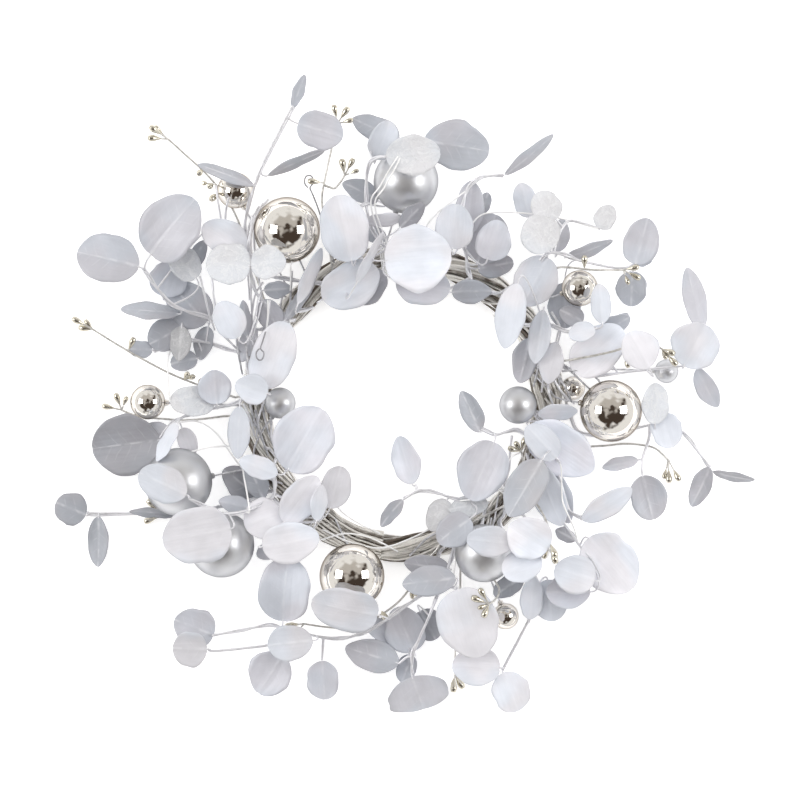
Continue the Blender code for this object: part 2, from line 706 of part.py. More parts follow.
def blocked(name, points, faces, start, placed, blades):
    # whether this blade or its stalk meets a stem, a ball, the ring or another blade
    if min(p.z for p in points) < lowestPoint:
        return True
    low = [min(p[k] for p in points) for k in range(3)]
    high = [max(p[k] for p in points) for k in range(3)]
    whole = BVHTree.FromPolygons(points, faces)
    bare = BVHTree.FromPolygons(points[start:], [[i - start for i in f] for f in faces if min(f) >= start])
    for owner, beads in placed.items():
        if owner != name:
            for point, radius in beads:
                near = radius + 0.2 * mm
                if all(low[k] - near < point[k] < high[k] + near for k in range(3)):
                    if whole.find_nearest(point, near)[0] is not None:
                        return True
    for owner, otherLow, otherHigh, otherWhole, otherBare in blades:
        if all(low[k] < otherHigh[k] and otherLow[k] < high[k] for k in range(3)):
            if owner == name and bare.overlap(otherBare):
                return True
            if owner != name and whole.overlap(otherWhole):
                return True
    return False


def leafTries():
    tilts = ((1, 1), (0.5, 1), (1, 0.5), (0.4, 0.4), (-0.6, 0.6), (0.6, -0.6), (0, 0), (-1, -1))
    lifts = (0, 3, -3, 6, -6, 9, -9, 12, -12, 16, -16, 20, -20)
    tries = [(abs(z) / 3 + 0.8 * k + (1 - size) * 60, z * mm, lean, turn, size)
             for size in (1, 0.92, 0.8) for z in lifts for k, (lean, turn) in enumerate(tilts)]
    return sorted(tries)


def placeLeaf(name, leaf, stems, placed, blades, tries):
    for cost, lift, lean, turn, size in tries:
        frame = bladeFrame(leaf, lift, lean, turn, size)
        root = nearestOn(stems, frame["base"])
        points, faces, start = leafLoft(leaf, frame, root, clearGap)
        if not blocked(name, points, faces, start, placed, blades):
            points, faces, start = leafLoft(leaf, frame, root)
            blades.append((name, [min(p[k] for p in points) for k in range(3)],
                           [max(p[k] for p in points) for k in range(3)],
                           BVHTree.FromPolygons(points, faces),
                           BVHTree.FromPolygons(points[start:],
                                                [[i - start for i in f] for f in faces if min(f) >= start])))
            return frame, root
    return None


def layOut():
    # the whole wreath's layout: ring, baubles, stems, pips, then leaves from the front back
    placed = {"vine_ring": ringBeads()}
    layout = {"wires": {}, "stems": {}, "pips": {}, "leaves": {}, "missed": []}
    for name, (x, y, high, radius, finish, root) in baubles.items():
        placed[name] = [(spot(x, y, high), radius * mm)]
    ways, ring = bindings(), BVHTree.FromPolygons(*ringMesh())
    for name in baubles:
        layout["wires"][name] = placeWire(name, placed, ways, ring)
    for group, radius in ((sprays, stemRadius), (twigs, twigRadius)):
        for name, plan in group.items():
            routes = placeStems(name, plan, radius, placed, ways, ring)
            if routes is None:
                layout["missed"].append((name, "stem"))
            else:
                layout["stems"][name] = routes
    blades = []
    for name, plan in twigs.items():
        if name in layout["stems"]:
            layout["pips"][name] = []
            for pip in plan["pips"]:
                middle = spot(*pip)
                root = nearestOn(layout["stems"][name], middle)
                middle = root + (middle - root).normalized() * max((middle - root).length, pipLength * 0.7)
                middle.z = max(middle.z, pipRadius + lowestPoint)
                tip = middle + (middle - root).normalized() * pipLength / 2
                beads = [(middle.lerp(tip, k / 3), pipRadius) for k in range(3)]
                if not touches(name, beads, placed, ring):
                    placed[name] = placed[name] + beads
                    layout["pips"][name].append((root, middle))
                else:
                    layout["missed"].append((name, pip))
    draw = random.Random(5)
    rows = []
    for name, plan in sprays.items():
        for index, row in enumerate(plan["leaves"]):
            rows.append((-row[5], name, index, readLeaf(row, draw)))
    tries = leafTries()
    for rank, name, index, leaf in sorted(rows, key=lambda r: r[:3]):
        layout["leaves"].setdefault(name, [])
        if name in layout["stems"]:
            found = placeLeaf(name, leaf, layout["stems"][name], placed, blades, tries)
            if found:
                layout["leaves"][name].append((leaf, found[0], found[1]))
            else:
                layout["missed"].append((name, sprays[name]["leaves"][index][:4]))
    return layout


def clearScene():
    for thing in list(bpy.data.objects):
        bpy.data.objects.remove(thing)


def finish(name, colour, roughness, metallic):
    material = bpy.data.materials.new(name)
    material.use_nodes = True
    shader = material.node_tree.nodes["Principled BSDF"]
    shader.inputs["Base Color"].default_value = (*colour, 1)
    shader.inputs["Roughness"].default_value = roughness
    shader.inputs["Metallic"].default_value = metallic
    return material


def meshObject(name, points, faces):
    mesh = bpy.data.meshes.new(name)
    mesh.from_pydata(points, [], faces)
    body = bmesh.new()
    body.from_mesh(mesh)
    bmesh.ops.recalc_face_normals(body, faces=body.faces)
    body.to_mesh(mesh)
    body.free()
    return bpy.data.objects.new(name, mesh)


def tube(name, route, radius, taper=1.0):
    # a square-sided tube: a bevelled curve turned into a welded mesh
    curve = bpy.data.curves.new(name, "CURVE")
    curve.dimensions = "3D"
    curve.bevel_depth = radius
    curve.bevel_resolution = 0
    curve.use_fill_caps = True
    line = curve.splines.new("POLY")
    line.points.add(len(route) - 1)
    for k, (point, place) in enumerate(zip(line.points, route)):
        point.co = (*place, 1)
        point.radius = 1 + (taper - 1) * k / (len(route) - 1)
    holder = bpy.data.objects.new(name + "_curve", curve)
    bpy.context.scene.collection.objects.link(holder)
    bpy.context.view_layer.update()
    mesh = bpy.data.meshes.new_from_object(holder.evaluated_get(bpy.context.evaluated_depsgraph_get()))
    bpy.data.objects.remove(holder)
    bpy.data.curves.remove(curve)
    body = bmesh.new()
    body.from_mesh(mesh)
    bmesh.ops.remove_doubles(body, verts=body.verts, dist=0.01 * mm)
    bmesh.ops.recalc_face_normals(body, faces=body.faces)
    body.to_mesh(mesh)
    body.free()
    return bpy.data.objects.new(name, mesh)


def fuse(name, pieces, material, home):
    # one Boolean union over a collection makes the pieces one body
    body = pieces[0]
    body.name = name
    home.objects.link(body)
    if len(pieces) > 1:
        group = bpy.data.collections.new(name + "_pieces")
        bpy.context.scene.collection.children.link(group)
        for piece in pieces[1:]:
            group.objects.link(piece)
        join = body.modifiers.new("join", "BOOLEAN")
        join.operation = "UNION"
        join.operand_type = "COLLECTION"
        join.collection = group
        join.solver = "MANIFOLD"
        bpy.context.view_layer.update()
        mesh = bpy.data.meshes.new_from_object(body.evaluated_get(bpy.context.evaluated_depsgraph_get()))
        body.modifiers.clear()
        body.data = mesh
        for piece in pieces[1:]:
            bpy.data.objects.remove(piece)
        bpy.data.collections.remove(group)
    body.data.name = name
    body.data.materials.clear()
    body.data.materials.append(material)
    return body


def bauble(name, material, home, layout):
    x, y, high, radius, finish, root = baubles[name]
    rings, sides = (7, 12) if radius > 15 else (6, 9)
    bpy.ops.mesh.primitive_uv_sphere_add(segments=sides, ring_count=rings, radius=radius * mm,
                                         location=spot(x, y, high))
    ball = bpy.context.object
    bpy.ops.object.transform_apply(location=True, rotation=False, scale=False)
    for holder in list(ball.users_collection):
        holder.objects.unlink(ball)
    ball.data.shade_smooth()
    return fuse(name, [ball, tube("wire", layout["wires"][name], wireRadius)], material, home)


def stemTubes(routes, radius):
    return [tube("stem", route, radius if k == 0 else radius * 0.85, 0.8) for k, route in enumerate(routes)]


def spray(name, material, home, layout):
    pieces = stemTubes(layout["stems"][name], stemRadius)
    for leaf, frame, root in layout["leaves"][name]:
        points, faces, start = leafLoft(leaf, frame, root)
        pieces.append(meshObject("leaf", points, faces))
    return fuse(name, pieces, material, home)


def pipLoft(root, middle):
    way = (middle - root).normalized()
    side = way.orthogonal().normalized()
    up = way.cross(side)
    start = middle - way * pipLength / 2
    profile = ((root, 0.6 * mm), (start, 0.7 * mm), (middle + way * pipLength * 0.12, pipRadius))
    points = []
    for place, r in profile:
        points += [place + side * r, place + up * r, place - side * r, place - up * r]
    points.append(middle + way * pipLength / 2)
    return points, loftFaces(len(profile))


def pipTwig(name, material, home, layout):
    pieces = stemTubes(layout["stems"][name], twigRadius)
    for root, middle in layout["pips"][name]:
        pieces.append(meshObject("pip", *pipLoft(root, middle)))
    return fuse(name, pieces, material, home)


def seatOrigin(home):
    # the origin is the middle of the part's box, on the surface it lies on
    corners = [body.matrix_world @ v.co for body in home.objects for v in body.data.vertices]
    middle = Vector([(min(c[k] for c in corners) + max(c[k] for c in corners)) / 2 for k in range(2)])
    for body in home.objects:
        for vertex in body.data.vertices:
            vertex.co.x -= middle.x
            vertex.co.y -= middle.y


def build():
    clearScene()
    home = bpy.data.collections.new("eucalyptus_wreath")
    bpy.context.scene.collection.children.link(home)
    silverLeaf = finish("silver_satin_leaf", (0.52, 0.53, 0.56), 0.45, 0.3)
    whiteLeaf = finish("white_satin_leaf", (0.84, 0.85, 0.88), 0.55, 0.05)
    vine = finish("silvered_vine", (0.66, 0.65, 0.64), 0.4, 0.5)
    pip = finish("champagne_pip", (0.68, 0.65, 0.56), 0.3, 0.8)
    mirror = finish("mirror_bauble", (0.9, 0.89, 0.86), 0.06, 1.0)
    satin = finish("satin_bauble", (0.62, 0.62, 0.63), 0.35, 0.9)
    layout = layOut()
    fuse("vine_ring", [meshObject("ring", *ringMesh())], vine, home)
    for name in layout["stems"]:
        if name in sprays:
            finishes = [row[8] for row in sprays[name]["leaves"]]
            silver = finishes.count("s") * 2 >= len(finishes)
            spray(name, silverLeaf if silver else whiteLeaf, home, layout)
        else:
            pipTwig(name, pip, home, layout)
    for name, row in baubles.items():
        bauble(name, mirror if row[4] == "m" else satin, home, layout)
    seatOrigin(home)
    return layout


if __name__ == "__main__":
    build()
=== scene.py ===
# Looks of a frosted eucalyptus wreath that lies on its back: satin and frosted leaves on
# wound stems, pip twigs, baubles and a ring of twisted vine twigs, seen from above.
import json
import math
import random
from functools import partial

import bmesh
import bpy
from mathutils import Matrix, Vector
from mathutils.bvhtree import BVHTree

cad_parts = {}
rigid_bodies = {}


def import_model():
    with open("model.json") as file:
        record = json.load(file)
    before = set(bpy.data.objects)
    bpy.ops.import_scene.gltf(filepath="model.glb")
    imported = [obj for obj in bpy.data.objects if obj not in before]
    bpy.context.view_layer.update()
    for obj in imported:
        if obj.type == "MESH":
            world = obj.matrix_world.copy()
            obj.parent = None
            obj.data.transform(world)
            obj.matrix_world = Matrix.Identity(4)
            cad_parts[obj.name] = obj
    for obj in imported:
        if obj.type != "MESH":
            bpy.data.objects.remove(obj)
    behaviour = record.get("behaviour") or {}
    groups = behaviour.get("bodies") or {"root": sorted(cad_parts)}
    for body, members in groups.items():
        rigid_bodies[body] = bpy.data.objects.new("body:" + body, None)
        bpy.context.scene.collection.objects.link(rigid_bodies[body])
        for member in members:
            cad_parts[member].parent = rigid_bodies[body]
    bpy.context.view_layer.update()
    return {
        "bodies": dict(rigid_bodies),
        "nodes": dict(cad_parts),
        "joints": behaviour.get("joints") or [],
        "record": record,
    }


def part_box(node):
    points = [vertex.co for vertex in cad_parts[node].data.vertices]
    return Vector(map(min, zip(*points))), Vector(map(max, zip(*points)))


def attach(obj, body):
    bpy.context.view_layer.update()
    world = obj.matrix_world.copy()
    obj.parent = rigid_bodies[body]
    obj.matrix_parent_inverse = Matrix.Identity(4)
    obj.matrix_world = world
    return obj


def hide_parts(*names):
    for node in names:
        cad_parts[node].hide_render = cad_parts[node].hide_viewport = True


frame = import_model()

mm = 0.001

# The layout grid lies over the wreath's face: x to the right, y down, 0.72 mm a step.
gridStep = 0.72 * mm
ringAt = (402, 403)

# Driving dimensions
ringRadius = 105 * mm
bundleRadius = 11 * mm
strandDepth = 1.4 * mm
strandCount = 5
strandTurns = 3
ringStations = 40
ringHeight = 9 * mm
stemRadius = 1.15 * mm
twigRadius = 0.9 * mm
wireRadius = 0.8 * mm
stalkRadius = 0.75 * mm
leafThickness = 1.2 * mm
pipLength = 8.5 * mm
pipRadius = 2.1 * mm
seatGap = 0.4 * mm
endGap = 0.15 * mm
touchGap = 0.1 * mm
clearGap = 0.5 * mm
lowestPoint = 1.2 * mm
bindArc = math.radians(10)
bindTurn = math.radians(75)

# The shade step is partly each leaf's own grey and partly painted light and shade for how deep it lies and
# how it turns to the lamps.
# One row a leaf: base x, base y, tip x, tip y and width on the grid as seen from the
# front, height of its middle in mm, pitch and roll in degrees, finish (s silver satin,
# w white satin, f white with frost), and shade, 1 darkest to 9 palest.
# A spray's root is its angle round the ring and its side of the bundle, 0 outward
# and 90 to the front. Stems are grid x, grid y and height in mm; the first one starts
# on the ring, and the others start on the first.
sprays = {
    "spray_northwest_outer": {
        "root": (150, 50),
        "stems": [[(222, 322, 22), (180, 308, 27), (158, 290, 31), (143, 269, 34)]],
        "leaves": [
            (139, 267, 77, 252, 49, 36, -6, 12, "s", 5.3), (151, 255, 196, 200, 60, 46, 10, -10, "s", 5.8),
            (178, 314, 120, 309, 17, 24, 4, 58, "s", 4), (163, 296, 172, 261, 38, 22, 8, 10, "s", 6.8),
            (196, 278, 171, 246, 30, 34, 12, 8, "f", 6), (206, 322, 170, 284, 44, 13, -4, -6, "s", 4.5),
            (204, 240, 190, 274, 16, 22, -4, 24, "s", 3),
        ],
    },
    "spray_northwest_inner": {
        "root": (141, 80),
        "stems": [[(262, 300, 30), (252, 282, 42), (250, 250, 50), (253, 216, 54)]],
        "leaves": [
            (251, 268, 207, 262, 42, 56, -8, 10, "f", 6.8), (252, 266, 287, 262, 33, 60, 6, -12, "f", 6.9),
            (246, 252, 203, 226, 38, 44, 8, 14, "w", 7.5), (238, 338, 220, 302, 32, 44, 6, 10, "w", 8),
            (247, 336, 243, 300, 12, 38, 0, 58, "s", 5), (262, 300, 280, 334, 26, 24, -8, 10, "s", 5),
            (264, 290, 292, 288, 17, 32, 0, 30, "s", 5), (254, 326, 241, 362, 18, 22, -2, 24, "s", 4.5),
            (285, 320, 318, 268, 12, 36, 4, 50, "s", 4), (298, 304, 322, 248, 14, 42, 4, 40, "w", 7.5),
        ],
    },
    "spray_west_back": {
        "root": (164, 15),
        "stems": [[(238, 352, 12), (205, 342, 12), (178, 342, 13), (152, 350, 14)]],
        "leaves": [
            (182, 326, 148, 344, 34, 14, 6, 10, "s", 4), (181, 326, 178, 361, 22, 24, 0, 20, "f", 3),
            (207, 326, 199, 360, 20, 9, -4, 16, "s", 4), (196, 358, 169, 364, 22, 8, 0, 14, "s", 4),
            (151, 350, 128, 349, 18, 16, 6, 30, "s", 4.5),
        ],
    },
    "spray_west": {
        "root": (177, 45),
        "stems": [[(236, 404, 24), (215, 408, 28), (190, 414, 30), (172, 424, 32), (160, 438, 30)]],
        "leaves": [
            (214, 405, 170, 400, 30, 34, 4, 14, "f", 6), (217, 404, 214, 370, 33, 40, 10, -8, "s", 7),
            (159, 440, 91, 449, 60, 26, -6, -8, "s", 3), (178, 423, 157, 461, 14, 40, -6, 52, "w", 8),
            (181, 428, 192, 456, 20, 26, -4, 30, "w", 7.5), (170, 431, 138, 434, 22, 18, -4, 10, "s", 6),
        ],
    },
    "spray_west_inner": {
        "root": (169, 95),
        "stems": [[(252, 388, 36), (260, 388, 42)]],
        "leaves": [
            (262, 388, 287, 322, 46, 44, 6, -10, "w", 7.6), (268, 394, 236, 384, 30, 54, 4, 8, "w", 7.2),
            (240, 406, 238, 459, 23, 40, -4, 24, "w", 7),
        ],
    },
    "spray_southwest_reach": {
        "root": (214, 35),
        "stems": [[(250, 500, 16), (222, 506, 13), (185, 513, 12), (148, 514, 12), (97, 514, 12),
                   (86, 512, 13)]],
        "leaves": [
            (84, 516, 54, 503, 34, 14, 4, 10, "s", 3.6), (97, 517, 96, 568, 21, 12, -6, 34, "s", 3.6),
            (172, 516, 128, 512, 9, 18, 4, 60, "s", 3), (258, 498, 222, 470, 30, 16, 4, 10, "s", 3),
            (263, 500, 247, 463, 24, 22, 2, 18, "s", 3.5), (250, 508, 218, 501, 18, 26, 0, 20, "s", 6),
        ],
    },
    "spray_southwest_front": {
        "root": (208, 85),
        "stems": [[(273, 497, 38), (243, 511, 50), (215, 511, 58), (190, 497, 62)]],
        "leaves": [
            (188, 494, 141, 472, 38, 66, -2, 8, "w", 6.5), (232, 528, 164, 541, 57, 56, 0, -8, "w", 7.2),
            (282, 512, 245, 526, 42, 44, 4, 10, "w", 8),
        ],
    },
    "spray_southwest_inner": {
        "root": (200, 110),
        "stems": [[(281, 462, 34), (287, 470, 42)]],
        "leaves": [
            (288, 470, 323, 409, 61, 48, 6, -10, "s", 7.4), (278, 474, 240, 460, 24, 50, 2, 12, "w", 7.5),
        ],
    },
    "spray_south_southwest": {
        "root": (228, 90),
        "stems": [[(296, 514, 34), (298, 528, 42), (286, 543, 46)]],
        "leaves": [
            (284, 522, 318, 476, 36, 50, 6, 12, "w", 8), (330, 508, 341, 466, 32, 44, 6, 10, "w", 6.8),
            (317, 520, 322, 484, 17, 56, 0, 40, "w", 8), (263, 546, 320, 536, 42, 58, 4, 8, "w", 8.2),
            (280, 548, 256, 556, 18, 22, -6, 14, "s", 5.5),
        ],
    },
    "spray_south_reach": {
        "root": (284, 55),
        "stems": [
            [(432, 583, 28), (415, 599, 32), (381, 623, 34), (342, 639, 34), (305, 634, 34),
             (269, 626, 34), (212, 636, 30)],
            [(300, 641, 34), (256, 647, 32), (220, 651, 31), (208, 649, 31)],
            [(322, 648, 33), (322, 660, 32)],
        ],
        "leaves": [
            (283, 621, 289, 556, 54, 42, 4, -10, "s", 6.6), (313, 640, 268, 645, 36, 46, -4, 8, "w", 6.5),
            (213, 636, 174, 620, 40, 28, 6, 10, "s", 5.5), (207, 649, 173, 648, 37, 38, 0, -8, "w", 6.2),
            (283, 655, 258, 694, 44, 26, -8, 10, "s", 6.5), (322, 661, 325, 700, 33, 32, -6, 12, "s", 6.5),
            (378, 614, 312, 600, 44, 60, 6, -12, "w", 6.5),
        ],
    },
    "spray_south": {
        "root": (289, 80),
        "stems": [
            [(446, 574, 38), (432, 610, 38), (414, 652, 32), (412, 676, 28)],
            [(408, 657, 30), (399, 664, 28)],
            [(452, 586, 44), (458, 590, 48)],
        ],
        "leaves": [
            (412, 677, 424, 711, 62, 20, -44, 4, "s", 6.3), (399, 664, 345, 648, 33, 24, -6, 8, "s", 4.7),
            (414, 652, 396, 608, 40, 22, 4, 8, "s", 6), (420, 612, 436, 641, 32, 14, -6, 0, "s", 3),
            (456, 578, 402, 584, 30, 46, 2, 14, "s", 4.5), (458, 588, 480, 656, 60, 54, -4, 8, "w", 7.8),
            (450, 570, 404, 563, 24, 30, 0, -14, "s", 3.5), (402, 642, 364, 622, 24, 20, 0, 10, "s", 6.5),
            (411, 656, 402, 684, 20, 15, -2, 8, "s", 4.5),
        ],
    },
    "spray_south_southeast": {
        "root": (303, 45),
        "stems": [[(524, 560, 16), (541, 591, 20), (525, 626, 24), (506, 662, 28), (502, 671, 28)]],
        "leaves": [
            (503, 673, 518, 712, 38, 28, -8, -10, "w", 8.5), (500, 668, 452, 666, 38, 34, 0, 12, "w", 8),
            (548, 580, 553, 622, 38, 28, -6, 10, "w", 7), (524, 576, 494, 596, 22, 30, 0, 14, "s", 2.5),
            (530, 620, 534, 577, 24, 32, 2, 12, "w", 7.5),
        ],
    },
    "spray_southeast": {
        "root": (328, 55),
        "stems": [[(548, 508, 24), (566, 526, 30), (580, 546, 34), (590, 557, 34)]],
        "leaves": [
            (588, 538, 632, 590, 56, 34, -6, 8, "w", 9), (594, 580, 554, 568, 38, 48, 4, 8, "w", 7.8),
            (590, 592, 546, 592, 34, 36, -2, 10, "s", 6.5), (576, 541, 556, 530, 14, 24, 0, 30, "s", 3.5),
        ],
    },
    "spray_southeast_inner": {
        "root": (316, 90),
        "stems": [[(524, 516, 36), (540, 534, 50), (546, 552, 58)]],
        "leaves": [
            (547, 548, 508, 524, 42, 68, 4, -8, "w", 8.8), (540, 556, 502, 572, 33, 60, -4, 14, "w", 8.5),
            (512, 542, 466, 538, 30, 66, 0, -10, "w", 7),
        ],
    },
    "spray_hole": {
        "root": (316, 125),
        "stems": [
            [(484, 504, 30), (459, 501, 34), (434, 491, 36), (417, 491, 36), (404, 499, 34)],
            [(416, 488, 36), (416, 484, 36)],
        ],
        "leaves": [
            (412, 484, 399, 436, 28, 38, 4, 10, "s", 7.8), (403, 500, 381, 527, 14, 32, -4, 48, "s", 4),
            (447, 500, 430, 531, 25, 30, -6, 20, "f", 5.5), (470, 518, 438, 542, 34, 40, -4, 10, "s", 5),
            (488, 503, 448, 510, 22, 34, 0, 16, "f", 5),
        ],
    },
    "spray_east_inner": {
        "root": (343, 115),
        "stems": [[(517, 429, 34), (496, 435, 38), (481, 429, 42)]],
        "leaves": [
            (480, 432, 461, 391, 22, 44, 6, 14, "s", 4), (494, 442, 470, 500, 50, 45, -6, 10, "s", 6.5),
        ],
    },
    "spray_east_low": {
        "root": (350, 60),
        "stems": [[(548, 442, 26), (556, 464, 29), (563, 490, 31), (570, 511, 32), (582, 519, 32)]],
        "leaves": [
            (529, 426, 594, 471, 50, 35, -4, 8, "s", 9.4), (538, 414, 578, 411, 17, 46, 0, 42, "w", 8),
            (538, 464, 562, 526, 32, 38, -4, 14, "w", 7.5), (550, 470, 570, 524, 26, 22, -4, 10, "s", 6.5),
            (582, 520, 632, 488, 24, 34, 4, 22, "w", 8), (556, 458, 526, 426, 30, 46, 2, 8, "w", 7),
            (541, 460, 508, 516, 38, 34, -2, 10, "w", 4.7),
        ],
    },
    "spray_east_reach": {
        "root": (3, 0),
        "stems": [
            [(576, 428, 7), (600, 434, 6), (632, 430, 10), (656, 424, 20), (680, 430, 24),
             (700, 454, 24), (712, 467, 22)],
            [(650, 438, 20), (643, 460, 22), (643, 475, 22)],
        ],
        "leaves": [
            (643, 476, 654, 520, 37, 24, -6, -10, "s", 5), (639, 460, 603, 468, 13, 20, 0, 52, "s", 6.5),
            (655, 424, 655, 383, 28, 34, 8, 10, "f", 8), (662, 414, 672, 448, 32, 30, -6, -8, "w", 8.5),
            (711, 468, 693, 507, 20, 18, -20, 30, "s", 4.5), (714, 472, 756, 480, 9, 22, 0, 52, "s", 4),
        ],
    },
    "spray_east": {
        "root": (18, 50),
        "stems": [[(575, 372, 30), (610, 374, 30), (645, 370, 28), (684, 366, 28), (698, 366, 26)]],
        "leaves": [
            (648, 368, 628, 332, 38, 52, 4, 8, "w", 8.4), (684, 366, 706, 325, 50, 38, 6, -8, "w", 8),
            (698, 368, 719, 407, 20, 26, -6, 30, "s", 6.5), (703, 330, 688, 267, 24, 20, 4, 40, "s", 6),
            (574, 372, 622, 328, 46, 46, 4, 10, "w", 9), (600, 334, 630, 317, 20, 40, 4, 20, "s", 5),
            (612, 332, 629, 313, 14, 20, 0, 30, "s", 5),
        ],
    },
    "spray_northeast_inner": {
        "root": (32, 80),
        "stems": [[(543, 322, 34), (566, 332, 42), (592, 328, 46)]],
        "leaves": [
            (594, 329, 568, 336, 20, 54, 2, 12, "w", 7.5), (602, 324, 598, 284, 22, 48, 4, 20, "w", 7.5),
            (583, 322, 560, 310, 20, 30, 0, 14, "s", 4), (543, 310, 535, 364, 22, 44, -4, 22, "w", 6.5),
            (556, 342, 548, 384, 24, 32, -4, 14, "w", 7), (531, 338, 520, 383, 27, 12, -6, 10, "s", 4.5),
            (517, 284, 504, 349, 30, 54, -4, 12, "w", 8),
        ],
    },
    "spray_northeast": {
        "root": (48, 75),
        "stems": [
            [(530, 272, 34), (549, 253, 42), (585, 262, 34), (620, 268, 28), (635, 266, 24)],
            [(558, 236, 42), (570, 221, 40), (600, 229, 36)],
            [(548, 236, 44), (534, 218, 40)],
        ],
        "leaves": [
            (548, 252, 530, 217, 40, 52, 6, 8, "f", 7), (556, 220, 535, 194, 30, 46, 8, 10, "f", 7),
            (530, 217, 520, 183, 24, 36, 4, -12, "w", 7.5), (556, 252, 563, 218, 20, 30, 4, 14, "s", 5),
            (567, 257, 613, 240, 12, 32, 4, 48, "s", 5), (636, 264, 648, 218, 37, 30, 6, -8, "s", 6.1),
            (637, 263, 654, 250, 16, 22, 0, 20, "s", 6.6), (634, 271, 632, 306, 31, 18, -8, 8, "s", 5),
            (548, 258, 522, 305, 42, 42, -6, 10, "w", 6.5), (600, 229, 611, 205, 22, 36, 6, 10, "f", 7),
            (566, 282, 566, 328, 34, 22, -2, 8, "s", 5),
        ],
    },
    "spray_north_northeast": {
        "root": (64, 80),
        "stems": [[(466, 250, 36), (458, 226, 46), (468, 190, 48), (486, 177, 46), (503, 175, 44)]],
        "leaves": [
            (505, 175, 553, 135, 12, 44, 6, 52, "s", 5.5), (452, 250, 455, 205, 40, 60, 6, 8, "w", 7.2),
            (466, 238, 472, 181, 30, 42, 8, -10, "s", 6), (487, 260, 499, 221, 36, 50, 6, 8, "s", 7),
            (478, 262, 496, 214, 46, 26, 0, -8, "s", 5), (452, 292, 492, 291, 24, 26, 0, 14, "s", 5),
            (481, 214, 488, 192, 14, 28, 0, 14, "s", 3.5), (478, 268, 514, 262, 24, 18, 0, 8, "s", 4.5),
        ],
    },
    "spray_north": {
        "root": (88, 80),
        "stems": [
            [(384, 246, 38), (368, 215, 42), (366, 185, 46), (372, 163, 54), (386, 158, 62)],
            [(372, 150, 44), (398, 139, 38), (424, 141, 40)],
        ],
        "leaves": [
            (385, 262, 451, 256, 65, 74, 2, 6, "w", 8.5), (386, 159, 440, 154, 40, 66, 0, 8, "f", 7),
            (424, 141, 489, 152, 49, 42, 4, -8, "s", 5), (376, 160, 390, 122, 29, 40, 6, 10, "w", 7),
            (399, 138, 352, 118, 26, 28, 4, 10, "s", 4.5), (396, 280, 450, 290, 44, 58, -6, 4, "s", 6.5),
            (400, 228, 424, 204, 18, 34, 2, 30, "s", 3),
        ],
    },
    "spray_north_northwest": {
        "root": (104, 85),
        "stems": [[(362, 258, 36), (352, 240, 46), (356, 212, 48), (370, 204, 46)]],
        "leaves": [
            (352, 262, 338, 196, 50, 58, 4, -8, "w", 7.5), (323, 300, 378, 269, 46, 42, 4, 10, "w", 7.3),
            (378, 200, 342, 182, 22, 30, 2, 20, "s", 4), (366, 221, 405, 218, 13, 44, 2, 48, "w", 7.5),
            (386, 240, 361, 228, 18, 30, 0, 20, "s", 5), (357, 284, 384, 233, 9, 66, 0, 56, "w", 7),
            (352, 300, 384, 272, 34, 30, 0, 8, "s", 5),
        ],
    },
    "spray_north_reach": {
        "root": (136, 60),
        "stems": [[(262, 272, 16), (244, 235, 20), (251, 200, 32), (262, 166, 38), (285, 120, 40),
                   (293, 108, 40)]],
        "leaves": [
            (293, 108, 305, 75, 11, 40, 6, 48, "s", 5.5), (298, 124, 343, 138, 38, 44, 4, 8, "s", 6.2),
            (268, 176, 325, 151, 10, 42, 4, 50, "s", 4.5), (254, 186, 198, 165, 13, 40, 2, 50, "s", 4),
        ],
    },
}

